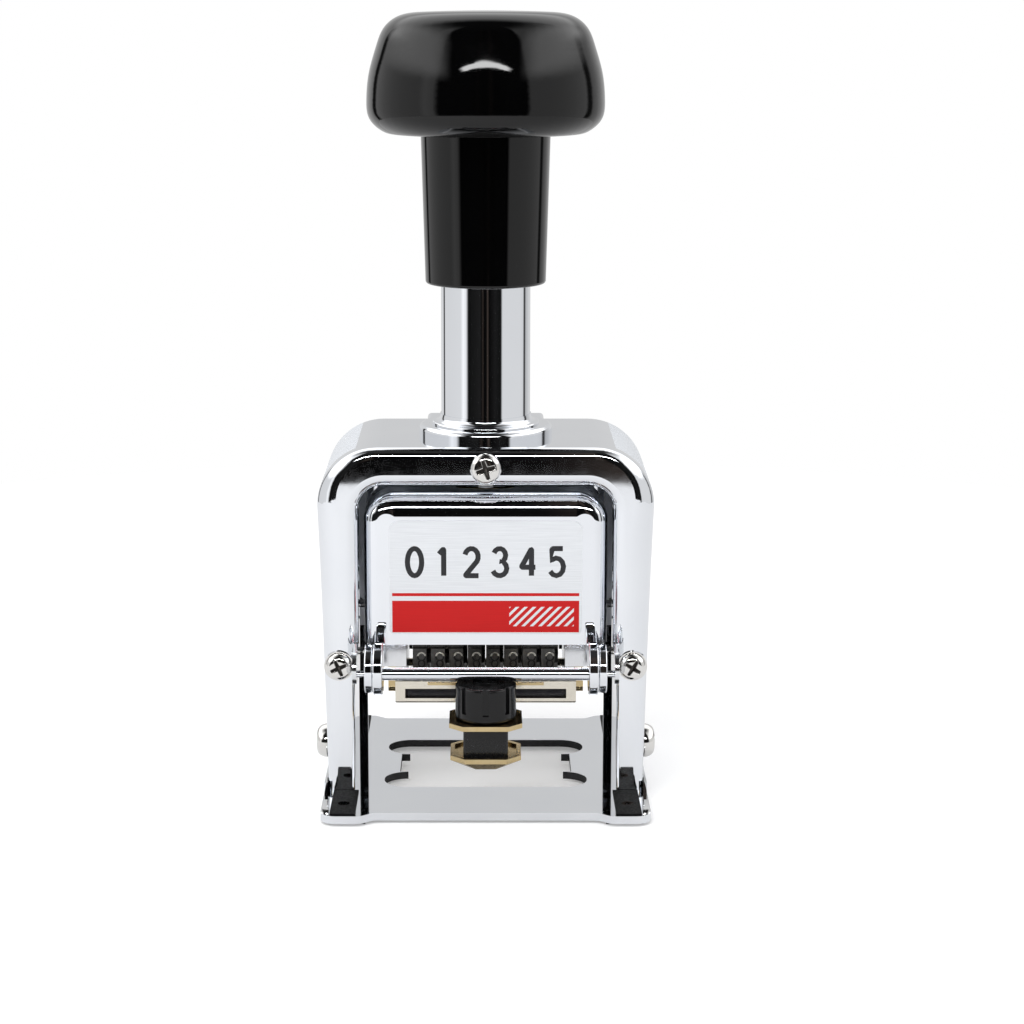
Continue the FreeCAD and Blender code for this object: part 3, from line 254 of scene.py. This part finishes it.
def put_out(tree, surface):
    """The surface linked to the material's output."""
    add_node(tree, "ShaderNodeOutputMaterial", links={"Surface": surface.outputs[0]})


# floor: a white round sheet, past whose edge polished faces see the dark studio
FLOOR_R = 0.335
FLOOR_DROP = 0.00006
FLOOR_WHITE = (0.80, 0.80, 0.805)
FLOOR_LIFT = 0.26
material, tree = new_material("studio_floor")
path = add_node(tree, "ShaderNodeLightPath")
paper = add_node(tree, "ShaderNodeTexNoise", {"Scale": 30.0, "Detail": 3.0})
shade = ramp(tree, paper.outputs[0], [(0.3, grey(0.985)), (0.7, grey(1.0))])
shade = mix_colour(tree, 1.0, FLOOR_WHITE, shade, "MULTIPLY")
lift = do_math(tree, "MULTIPLY", path.outputs["Is Camera Ray"], FLOOR_LIFT)
surface = add_node(tree, "ShaderNodeBsdfPrincipled", {"Roughness": 0.9, "Specular IOR Level": 0.0},
                   {"Base Color": shade, "Emission Strength": lift})
surface.inputs["Emission Color"].default_value = (1, 1, 1, 1)
put_out(tree, surface)
mesh = bpy.data.meshes.new("floor")
shape = bmesh.new()
bmesh.ops.create_circle(shape, cap_ends=True, segments=160, radius=FLOOR_R)
bmesh.ops.translate(shape, verts=shape.verts, vec=(0, 0, -FLOOR_DROP))
shape.to_mesh(mesh)
shape.free()
new_object("floor", mesh, material=material)

# materials, one for each finish. The scales are spots in a metre, and the depths are in metres
finishes = {}
SPOTS = 600.0
BROAD_SPOTS = 70.0
WAVE_SPOTS = 90.0
WAVE_DEPTH = 0.001
GRAIN_DEPTH = 0.0002


def add_finish(name, base, metallic, rough, spots=SPOTS, waves=0.0, grain=0.0, edge_wear_glint=None, tint=0.04,
               shader=None):
    """A finish whose colour and roughness vary in fine spots. waves bends reflections a little over
    millimetres, grain is a fine relief, and the edge colour is the one that outer edges turn to:
    wear, with a painted edge highlight."""
    material, tree = new_material(name)
    place = add_node(tree, "ShaderNodeTexCoord").outputs["Object"]
    fine = noise_spots(tree, place, spots, 4.0, Roughness=0.6)
    broad = noise_spots(tree, place, BROAD_SPOTS, 2.0)
    dark = tuple(c * (1 - tint) for c in base)
    light = tuple(min(1.0, c * (1 + tint)) for c in base)
    colour = ramp(tree, broad, [(0.35, dark), (0.65, light)])
    # outer edges lighter in the edge colour: wear, with a painted edge highlight
    if edge_wear_glint:
        edges = add_node(tree, "ShaderNodeNewGeometry").outputs["Pointiness"]
        wear_and_glint = do_math(tree, "MULTIPLY", map_range(tree, edges, 0.515, 0.56, 0.0, 0.7), fine)
        colour = mix_colour(tree, wear_and_glint, colour, edge_wear_glint)
    gloss = map_range(tree, fine, 0.3, 0.7, rough * 0.8, rough * 1.25)
    surface = add_node(tree, "ShaderNodeBsdfPrincipled", {"Metallic": metallic, **(shader or {})},
                       {"Base Color": colour, "Roughness": gloss})
    relief = None
    if waves:
        slow = noise_spots(tree, place, WAVE_SPOTS, 1.0)
        relief = add_node(tree, "ShaderNodeBump", {"Strength": waves, "Distance": WAVE_DEPTH},
                          {"Height": slow})
    if grain:
        feed = {"Height": fine}
        if relief:
            feed["Normal"] = relief.outputs[0]
        relief = add_node(tree, "ShaderNodeBump", {"Strength": grain, "Distance": GRAIN_DEPTH}, feed)
    if relief:
        tree.links.new(relief.outputs[0], surface.inputs["Normal"])
    put_out(tree, surface)
    finishes[name] = material


add_finish("bright_chrome", (0.80, 0.82, 0.855), 1.0, 0.035, waves=0.012, tint=0.01)
add_finish("screw_steel", (0.72, 0.71, 0.69), 1.0, 0.09, spots=1500.0, grain=0.02)
# near black: painted shade in the screws' cross recesses
add_finish("recess_painted_shade", (0.055, 0.05, 0.046), 0.8, 0.4, spots=2500.0, grain=0.1)
add_finish("plate_steel", (0.72, 0.73, 0.75), 1.0, 0.17, spots=1200.0, grain=0.02)
add_finish("spring_steel", (0.42, 0.43, 0.45), 1.0, 0.25, spots=1200.0)
add_finish("brass", (0.47, 0.35, 0.165), 1.0, 0.2, spots=900.0, grain=0.05, tint=0.14,
           edge_wear_glint=(0.72, 0.60, 0.38))
add_finish("nickel_cream", (0.74, 0.70, 0.61), 1.0, 0.2, spots=1100.0, grain=0.03)
add_finish("black_gloss", (0.0008, 0.0008, 0.0009), 0.0, 0.045, tint=0.2, waves=0.004,
           shader={"IOR": 1.41})
add_finish("black_plastic", (0.0025, 0.0025, 0.0028), 0.0, 0.16, spots=2500.0, grain=0.05, tint=0.2,
           edge_wear_glint=(0.02, 0.02, 0.021), shader={"IOR": 1.38})
add_finish("black_matt", (0.0028, 0.0028, 0.003), 0.0, 0.6, spots=2500.0, grain=0.1, tint=0.2,
           shader={"IOR": 1.2})
add_finish("wheel_black", (0.007, 0.0066, 0.0065), 0.3, 0.32, spots=2000.0, grain=0.1, tint=0.25,
           edge_wear_glint=(0.16, 0.155, 0.145))
add_finish("foot_rubber", (0.02, 0.02, 0.02), 0.0, 0.75, spots=2500.0, grain=0.3)
add_finish("type_inked", (0.014, 0.0135, 0.013), 0.6, 0.4, spots=2200.0, grain=0.1)
# pale metal on the lower end of each figure: a painted glint
add_finish("type_glint_metal", (0.66, 0.64, 0.58), 1.0, 0.3, spots=2200.0, grain=0.05, tint=0.15)
add_finish("print_dark", (0.016, 0.016, 0.019), 0.0, 0.42, spots=2200.0, tint=0.1)


def masked_chrome(name, make_mask, hidden, hidden_rough):
    """Polished chrome outside, and a duller finish where the mask is 1."""
    material, tree = new_material(name)
    place = add_node(tree, "ShaderNodeTexCoord").outputs["Object"]
    mask = make_mask(tree, add_node(tree, "ShaderNodeSeparateXYZ", links={"Vector": place}).outputs)
    fine = noise_spots(tree, place, SPOTS, 4.0)
    broad = noise_spots(tree, place, BROAD_SPOTS, 2.0)
    slow = noise_spots(tree, place, WAVE_SPOTS, 1.0)
    polished = ramp(tree, broad, [(0.35, (0.79, 0.81, 0.845)), (0.65, (0.81, 0.83, 0.86))])
    dull = ramp(tree, fine, [(0.3, tuple(c * 0.94 for c in hidden)), (0.7, hidden)])
    smooth = map_range(tree, fine, 0.3, 0.7, 0.028, 0.045)
    rough = mix_colour(tree, mask, smooth, (hidden_rough,) * 3)
    metal = do_math(tree, "SUBTRACT", 1.0, do_math(tree, "MULTIPLY", mask, 0.7))
    relief = add_node(tree, "ShaderNodeBump", {"Strength": 0.012, "Distance": WAVE_DEPTH},
                      {"Height": slow})
    surface = add_node(tree, "ShaderNodeBsdfPrincipled", {},
                       {"Base Color": mix_colour(tree, mask, polished, dull), "Roughness": rough,
                        "Metallic": metal, "Normal": relief.outputs[0]})
    put_out(tree, surface)
    finishes[name] = material


# inside of the arch, whose half width grows with the height
INSIDE_HALF = 0.0293
INSIDE_TAPER = 0.0321
INSIDE_Y = (-0.0122, 0.0178)
INSIDE_Z = (0.026, 0.0681)
# window of the base, with its walls
WINDOW_HALF_X = 0.0201
WINDOW_HALF_Y = 0.0153
WINDOW_TOP = 0.00193


def inside_housing(tree, axes):
    """1 on the walls of the arch's inside, behind the rolled edge of the opening."""
    half = do_math(tree, "ADD", do_math(tree, "MULTIPLY", axes["Z"], INSIDE_TAPER), INSIDE_HALF)
    mask = do_math(tree, "LESS_THAN", do_math(tree, "ABSOLUTE", axes["X"]), half)
    mask = do_math(tree, "MULTIPLY", mask, within(tree, axes["Z"], *INSIDE_Z))
    return do_math(tree, "MULTIPLY", mask, within(tree, axes["Y"], *INSIDE_Y))


def painted_window_shade(tree, axes):
    """1 on the cut walls of the base window, which are painted near black: a painted shade."""
    mask = do_math(tree, "MULTIPLY", within(tree, axes["X"], -WINDOW_HALF_X, WINDOW_HALF_X),
                   within(tree, axes["Y"], -WINDOW_HALF_Y, WINDOW_HALF_Y))
    return do_math(tree, "MULTIPLY", mask, do_math(tree, "LESS_THAN", axes["Z"], WINDOW_TOP))


masked_chrome("housing_chrome", inside_housing, (0.80, 0.84, 0.90), 0.22)
# the base window's cut walls take a near-black dull finish: painted shade
masked_chrome("base_chrome", painted_window_shade, (0.03, 0.03, 0.032), 0.5)


def add_felt_finish(name):
    """Inked felt: matted fibres, nearly black, with a dull violet cast."""
    material, tree = new_material(name)
    place = add_node(tree, "ShaderNodeTexCoord").outputs["Object"]
    stretch = add_node(tree, "ShaderNodeMapping", {"Scale": (1.0, 1.0, 2.2)}, {"Vector": place})
    fibre = noise_spots(tree, stretch.outputs[0], 3200.0, 6.0, Roughness=0.75, Distortion=1.6)
    soak = noise_spots(tree, place, 240.0, 2.0)
    fibres = ramp(tree, fibre, [(0.3, (0.004, 0.004, 0.007)), (0.75, (0.03, 0.028, 0.04))])
    relief = add_node(tree, "ShaderNodeBump", {"Strength": 0.8, "Distance": 0.0003}, {"Height": fibre})
    surface = add_node(tree, "ShaderNodeBsdfPrincipled", {"Sheen Weight": 0.35, "Sheen Roughness": 0.5},
                       {"Base Color": mix_colour(tree, soak, fibres, (0.008, 0.007, 0.014)),
                        "Roughness": map_range(tree, soak, 0.3, 0.7, 0.6, 0.95),
                        "Normal": relief.outputs[0]})
    put_out(tree, surface)
    finishes[name] = material


# marks of the label, as places across and up
BRUSHED = (120.0, 900.0, 4200.0)
BAND_UP = (0.0330, 0.0392)
RULE_UP = (0.0401, 0.0407)
RED_HALF = 0.0178
HATCH_ACROSS = (0.0045, 0.0168)
HATCH_UP = (0.0342, 0.0380)
HATCHES_PER_METRE = 620.0
HATCH_SHARE = 0.42


def add_label_finish(name):
    """Satin silver with a red rule and a red band, which carries slanted white hatching at one end."""
    material, tree = new_material(name)
    place = add_node(tree, "ShaderNodeTexCoord").outputs["Object"]
    axes = add_node(tree, "ShaderNodeSeparateXYZ", links={"Vector": place}).outputs
    across, up = axes["X"], axes["Z"]
    brushed = add_node(tree, "ShaderNodeMapping", {"Scale": BRUSHED}, {"Vector": place}).outputs[0]
    satin = noise_spots(tree, brushed, 1.0, 3.0)
    silver = ramp(tree, satin, [(0.3, (0.68, 0.70, 0.73)), (0.7, (0.76, 0.78, 0.81))])
    slant = do_math(tree, "MULTIPLY", do_math(tree, "SUBTRACT", across, up), HATCHES_PER_METRE)
    hatch = within(tree, do_math(tree, "FRACT", slant), 0.0, HATCH_SHARE)
    hatch = do_math(tree, "MULTIPLY", hatch, within(tree, across, *HATCH_ACROSS))
    hatch = do_math(tree, "MULTIPLY", hatch, within(tree, up, *HATCH_UP))
    red = do_math(tree, "ADD", within(tree, up, *BAND_UP), within(tree, up, *RULE_UP), True)
    red = do_math(tree, "SUBTRACT", red, hatch, True)
    red = do_math(tree, "MULTIPLY", red, within(tree, across, -RED_HALF, RED_HALF))
    ink = ramp(tree, satin, [(0.3, (0.53, 0.004, 0.004)), (0.7, (0.58, 0.006, 0.006))])
    relief = add_node(tree, "ShaderNodeBump", {"Strength": 0.05, "Distance": 0.0001}, {"Height": satin})
    surface = add_node(tree, "ShaderNodeBsdfPrincipled", {"Specular IOR Level": 0.3},
                       {"Base Color": mix_colour(tree, red, silver, ink),
                        "Roughness": map_range(tree, satin, 0.3, 0.7, 0.38, 0.5),
                        "Normal": relief.outputs[0]})
    put_out(tree, surface)
    finishes[name] = material


add_felt_finish("inked_felt")
add_label_finish("label_face")

SLOT_NODES = {
    "bright_chrome": ["base_plate", "corner_eyelets", "frame_housing", "rear_cover", "column_flange",
                      "stem_tube", "cross_bar", "inner_discs", "outer_discs", "face_cover"],
    "screw_steel": ["rear_screws", "side_screws", "bracket_rivets", "housing_screw", "leg_screws",
                    "leg_washers", "lock_nut", "bridge_screws", "wheel_axle", "cover_screw",
                    "follower_pins", "feed_pins"],
    "plate_steel": ["guide_channel", "cam_plates", "bar_brackets", "plunger_rod", "carriage_side_left",
                    "carriage_side_right", "carriage_bridge", "detent_rod", "pawl_frame"],
    "spring_steel": ["return_spring", "axle_clips", "detent_pawls", "feed_pawls"],
    "brass": ["rod_bush", "spring_collar", "column_plate", "column_dish", "leaf_springs", "ink_arms"],
    "nickel_cream": ["ink_tray", "pad_frame"],
    "black_gloss": ["grip_sleeve", "knob"],
    "black_matt": ["corner_pads"],
    "black_plastic": ["column_post", "thumb_nut"],
    "wheel_black": ["number_wheel_%d" % (n + 1) for n in range(WHEEL_COUNT)],
    "foot_rubber": ["rubber_feet"],
    "inked_felt": ["ink_pad"],
    "label_face": ["label_plate"],
}
for slot, names in SLOT_NODES.items():
    for name in names:
        mesh = nodes[name].data
        mesh.materials.clear()
        mesh.materials.append(finishes[slot])
nodes["frame_housing"].data.materials[0] = finishes["housing_chrome"]
nodes["base_plate"].data.materials[0] = finishes["base_chrome"]
unpainted = sorted(set(nodes) - {name for names in SLOT_NODES.values() for name in names})
if unpainted:
    raise RuntimeError("nodes with no finish: " + ", ".join(unpainted))


# figures, drawn as strokes in a cell one wide and 1.6 high
def bow(cx, cy, rx, ry, start, end, steps=9):
    """Points along part of an ellipse, by angles in degrees."""
    turned = [math.radians(start + (end - start) * n / steps) for n in range(steps + 1)]
    return [(cx + rx * math.cos(t), cy + ry * math.sin(t)) for t in turned]


def loop(cx, cy, rx, ry):
    """A closed stroke round a whole ellipse."""
    return (True, bow(cx, cy, rx, ry, 0, 345, 23))


FIGURES = {
    0: [loop(0.5, 0.8, 0.5, 0.8)],
    1: [(False, [(0.22, 1.28), (0.55, 1.6), (0.55, 0.0)])],
    2: [(False, bow(0.5, 1.12, 0.47, 0.48, 165, -35) + [(0.05, 0.0), (1.0, 0.0)])],
    3: [(False, bow(0.48, 1.2, 0.42, 0.4, 160, -80) + bow(0.48, 0.43, 0.5, 0.43, 80, -160))],
    4: [(False, [(0.72, 0.0), (0.72, 1.6), (0.0, 0.5), (1.0, 0.5)])],
    5: [(False, [(0.92, 1.6), (0.16, 1.6), (0.1, 0.88)] + bow(0.47, 0.52, 0.5, 0.52, 125, -150))],
    6: [loop(0.5, 0.48, 0.48, 0.48), (False, [(0.04, 0.58), (0.12, 0.95), (0.4, 1.3), (0.78, 1.6)])],
    7: [(False, [(0.02, 1.6), (0.98, 1.6), (0.62, 0.95), (0.38, 0.0)])],
    8: [loop(0.5, 1.2, 0.4, 0.4), loop(0.5, 0.42, 0.5, 0.42)],
    9: [loop(0.5, 1.12, 0.48, 0.48), (False, [(0.96, 1.02), (0.88, 0.65), (0.6, 0.3), (0.22, 0.0)])],
}
BEND_R = 0.11
BEND_STEPS = 4
BLUNTEST = math.radians(140)


def eased(points):
    """The points with each sharp turn replaced by a few round it, so that a stroke keeps its width."""
    made = [points[0]]
    for before, here, after in zip(points, points[1:], points[2:]):
        corner = Vector(here)
        back = Vector(before) - corner
        on = Vector(after) - corner
        if back.length < 2 * BEND_R or on.length < 2 * BEND_R or back.angle(on) > BLUNTEST:
            made.append(here)
            continue
        start = corner + back.normalized() * BEND_R
        end = corner + on.normalized() * BEND_R
        for n in range(BEND_STEPS + 1):
            t = n / BEND_STEPS
            made.append(tuple(start * (1 - t) ** 2 + corner * 2 * t * (1 - t) + end * t ** 2))
    return made + [points[-1]]


def add_strokes(curve, digit, to_place):
    """A figure's strokes as splines of the curve, each point placed by to_place(across, up)."""
    for closed, points in FIGURES[digit]:
        points = points if closed else eased(points)
        spline = curve.splines.new("POLY")
        spline.points.add(len(points) - 1)
        spline.use_cyclic_u = closed
        for point, (u, v) in zip(spline.points, points):
            point.co = (*to_place(u, v), 1)


def stroke_curve(name, radius):
    """A curve whose splines are round tubes with closed ends."""
    curve = bpy.data.curves.new(name, "CURVE")
    curve.dimensions = "3D"
    curve.bevel_depth = radius
    curve.bevel_resolution = 2
    curve.use_fill_caps = True
    return curve


def as_mesh(curve, name):
    """The curve's tubes as a mesh of their own."""
    holder = bpy.data.objects.new(name, curve)
    scene.collection.objects.link(holder)
    bpy.context.view_layer.update()
    depsgraph = bpy.context.evaluated_depsgraph_get()
    mesh = bpy.data.meshes.new_from_object(holder.evaluated_get(depsgraph))
    mesh.name = name
    bpy.data.objects.remove(holder)
    return mesh


# raised figures on the ten faces of each wheel, mirrored as type is
TYPE_WIDTH = 0.0015
TYPE_SCALE = 0.0021
TYPE_STROKE_R = 0.00019
TYPE_SUNK = 0.00004
GLINT_SHARE = 0.36
for n in range(WHEEL_COUNT):
    middle = (n - (WHEEL_COUNT - 1) / 2) * WHEEL_PITCH
    curve = stroke_curve("type", TYPE_STROKE_R)
    for digit in FIGURES:
        turned = digit * FACE_STEP

        def on_rim(u, v):
            angle = turned + (v - 0.8) * TYPE_SCALE / WHEEL_R
            radius = WHEEL_R - TYPE_SUNK
            return (middle + (u - 0.5) * TYPE_WIDTH, radius * math.sin(angle),
                    AXLE_Z - radius * math.cos(angle))

        add_strokes(curve, digit, on_rim)
    mesh = as_mesh(curve, "type_figures_%d" % (n + 1))
    new_object("type_figures_%d" % (n + 1), mesh, "number_wheel_%d" % (n + 1), finishes["type_glint_metal"])
    mesh.materials.append(finishes["type_inked"])
    # the lower end of each figure takes the pale metal, a painted glint; the rest is inked
    for face in mesh.polygons:
        angle = math.atan2(face.center.y, AXLE_Z - face.center.z)
        along = (angle / FACE_STEP + 0.5) % 1.0
        face.material_index = 0 if along < GLINT_SHARE else 1
        face.use_smooth = True

# six plain figures printed on the label, their tubes pressed nearly flat
PRINT_FIGURES = (0, 1, 2, 3, 4, 5)
PRINT_STEP = 0.0054
PRINT_WIDTH = 0.0027
PRINT_SCALE = 0.0033
PRINT_FOOT = 0.0441
PRINT_STROKE_R = 0.0005
PRINT_FLAT = 0.03
label_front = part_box("label_plate")[0].y
curve = stroke_curve("print", PRINT_STROKE_R)
for n, digit in enumerate(PRINT_FIGURES):
    left = (n - (len(PRINT_FIGURES) - 1) / 2) * PRINT_STEP - PRINT_WIDTH / 2
    add_strokes(curve, digit, lambda u, v: (left + u * PRINT_WIDTH, 0.0, PRINT_FOOT + v * PRINT_SCALE))
mesh = as_mesh(curve, "label_figures")
for vertex in mesh.vertices:
    vertex.co.y = label_front + vertex.co.y * PRINT_FLAT
new_object("label_figures", mesh, "plunger", finishes["print_dark"])

# screws with a cross recess, in the place of the plain ones. The recess is in shares of the head
SCREW_RINGS = 44
SCREW_SPOKES = 120
CROSS_HALF = 0.135
CROSS_REACH = 0.6
CROSS_EDGE = 0.05
CROSS_DEPTH = 0.72


def ring_points(radius):
    """Points round the screw's axis."""
    turned = [2 * math.pi * k / SCREW_SPOKES for k in range(SCREW_SPOKES)]
    return [(radius * math.cos(t), radius * math.sin(t)) for t in turned]


def screw_mesh(name, head_r, head, shank_r, shank, turned):
    """A domed head on a grid of rings and spokes, sunk where the cross recess is, with its shank."""
    arm_half = head_r * CROSS_HALF
    arm_long = head_r * CROSS_REACH
    soft = head_r * CROSS_EDGE
    shape = bmesh.new()

    def surface(x, y):
        """The head's height, and how far the cross recess counts, from 0 to 1."""
        r = min(1.0, math.hypot(x, y) / head_r)
        dome = head * math.sqrt(max(0.0, 1 - r ** 5))
        u = abs(x * math.cos(turned) + y * math.sin(turned))
        v = abs(y * math.cos(turned) - x * math.sin(turned))
        outside = max(min(u, v) - arm_half * (1 - 0.35 * max(u, v) / arm_long), max(u, v) - arm_long)
        sunk = min(1.0, max(0.0, 0.5 - outside / soft))
        return dome - sunk * head * CROSS_DEPTH * (1 - 0.5 * max(u, v) / arm_long), sunk

    middle = shape.verts.new((0, 0, surface(0, 0)[0]))
    loops = []
    for i in range(1, SCREW_RINGS + 1):
        r = head_r * (1 - (1 - i / SCREW_RINGS) ** 1.15)
        loops.append([shape.verts.new((x, y, surface(x, y)[0])) for x, y in ring_points(r)])
    for level in (0.0, -shank):
        loops.append([shape.verts.new((x, y, level)) for x, y in ring_points(shank_r)])
    for k in range(SCREW_SPOKES):
        shape.faces.new((middle, loops[0][k], loops[0][(k + 1) % SCREW_SPOKES]))
    for inner, outer in zip(loops, loops[1:]):
        for k in range(SCREW_SPOKES):
            after = (k + 1) % SCREW_SPOKES
            shape.faces.new((inner[k], outer[k], outer[after], inner[after]))
    shape.faces.new(reversed(loops[-1]))
    for face in shape.faces:
        face.smooth = True
        centre = face.calc_center_median()
        # faces in the cross recess take the near-black finish: painted shade
        if centre.z > 0 and surface(centre.x, centre.y)[1] > 0.35:
            face.material_index = 1
    mesh = bpy.data.meshes.new(name)
    shape.to_mesh(mesh)
    shape.free()
    mesh.materials.append(finishes["screw_steel"])
    mesh.materials.append(finishes["recess_painted_shade"])
    return mesh


def add_screw(name, body, node, seat, direction, head_r, head, shank_r, shank, turned):
    """A screw whose head sits at seat and points along direction."""
    mesh = screw_mesh(name, head_r, head, shank_r, shank, turned)
    mesh.transform(Vector(direction).to_track_quat("Z", "Y").to_matrix().to_4x4())
    mesh.transform(Matrix.Translation(Vector(seat)))
    made = new_object(name, mesh, body)
    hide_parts(node)


FACE_HEAD = 0.0017
FACE_SHANK_R = 0.0014
low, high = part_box("housing_screw")
add_screw("arch_screw", "frame", "housing_screw", (0, low.y + FACE_HEAD, (low.z + high.z) / 2),
          (0, -1, 0), (high.x - low.x) / 2, FACE_HEAD, FACE_SHANK_R, high.y - low.y - FACE_HEAD, 0.30)
low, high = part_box("leg_screws")
head_r = (high.z - low.z) / 2
for side, turned in ((-1, 0.42), (1, 1.02)):
    add_screw("leg_screw_%s" % ("left" if side < 0 else "right"), "frame", "leg_screws",
              (side * (high.x - head_r), low.y + FACE_HEAD, (low.z + high.z) / 2), (0, -1, 0),
              head_r, FACE_HEAD, FACE_SHANK_R, high.y - low.y - FACE_HEAD, turned)

SHOULDER_HEAD = 0.001
SMALL_SHANK_R = 0.0008
low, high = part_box("cover_screw")
add_screw("shoulder_screw", "plunger", "cover_screw", (0, (low.y + high.y) / 2, high.z - SHOULDER_HEAD),
          (0, 0, 1), (high.x - low.x) / 2, SHOULDER_HEAD, SMALL_SHANK_R,
          high.z - low.z - SHOULDER_HEAD, 0.7)

SIDE_HEAD = 0.0026
SIDE_SHANK = 0.0033
low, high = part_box("side_screws")
head_r = (high.z - low.z) / 2
for side, turned in ((-1, 0.2), (1, 0.9)):
    add_screw("side_screw_%s" % ("left" if side < 0 else "right"), "frame", "side_screws",
              (side * (high.x - SIDE_HEAD), (low.y + high.y) / 2, (low.z + high.z) / 2), (side, 0, 0),
              head_r, SIDE_HEAD, FACE_SHANK_R, SIDE_SHANK, turned)

REAR_HEAD_R = 0.0015
REAR_HEAD = 0.0009
REAR_SHANK = 0.0031
low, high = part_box("rear_screws")
upper = high.z - 2 * REAR_HEAD_R
for n, (side, foot) in enumerate(((-1, low.z), (1, low.z), (-1, upper), (1, upper))):
    add_screw("rear_screw_%d" % (n + 1), "frame", "rear_screws",
              (side * (high.x - REAR_HEAD_R), high.y - REAR_HEAD, foot + REAR_HEAD_R), (0, 1, 0),
              REAR_HEAD_R, REAR_HEAD, SMALL_SHANK_R, REAR_SHANK, 0.5 + n * 0.7)

# felt in the ink tray, in the space of its plain solid
FELT_ROUND = 0.22
FELT_CUTS = 24
FELT_LINT = 0.00018
LINT_SCALE = 900
low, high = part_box("ink_pad")
size = high - low
centre = (low + high) / 2
shape = bmesh.new()
bmesh.ops.create_cube(shape, size=1.0)
bmesh.ops.scale(shape, vec=size, verts=shape.verts)
bmesh.ops.translate(shape, vec=centre, verts=shape.verts)
bmesh.ops.bevel(shape, geom=shape.edges[:], offset=min(size) * FELT_ROUND, segments=3, affect="EDGES")
bmesh.ops.subdivide_edges(shape, edges=[e for e in shape.edges if e.calc_length() > 0.002],
                          cuts=FELT_CUTS, use_grid_fill=True)
for vertex in shape.verts:
    pull = 0.5 + 0.5 * noise.noise(vertex.co * LINT_SCALE)
    vertex.co += (centre - vertex.co).normalized() * FELT_LINT * pull
mesh = bpy.data.meshes.new("ink_felt")
shape.to_mesh(mesh)
shape.free()
for face in mesh.polygons:
    face.use_smooth = True
felt = new_object("ink_felt", mesh, "ink_swing", finishes["inked_felt"])
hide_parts("ink_pad")

# return spring inside the stem, as one fixed coil on the frame; the real spring shortens as the plunger
# goes down
SPRING_WIRE_R = 0.0005
SPRING_TURNS = 13
COIL_STEPS = 24
low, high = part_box("return_spring")
coil_r = (high.x - low.x) / 2 - SPRING_WIRE_R
curve = stroke_curve("spring", SPRING_WIRE_R)
steps = SPRING_TURNS * COIL_STEPS
spline = curve.splines.new("POLY")
spline.points.add(steps)
for n, point in enumerate(spline.points):
    angle = 2 * math.pi * n / COIL_STEPS
    rise = low.z + SPRING_WIRE_R + (high.z - low.z - 2 * SPRING_WIRE_R) * n / steps
    point.co = (coil_r * math.cos(angle), coil_r * math.sin(angle), rise, 1)
mesh = as_mesh(curve, "coil_spring")
for face in mesh.polygons:
    face.use_smooth = True
spring = new_object("coil_spring", mesh, "frame", finishes["spring_steel"])
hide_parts("return_spring")
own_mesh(spring)
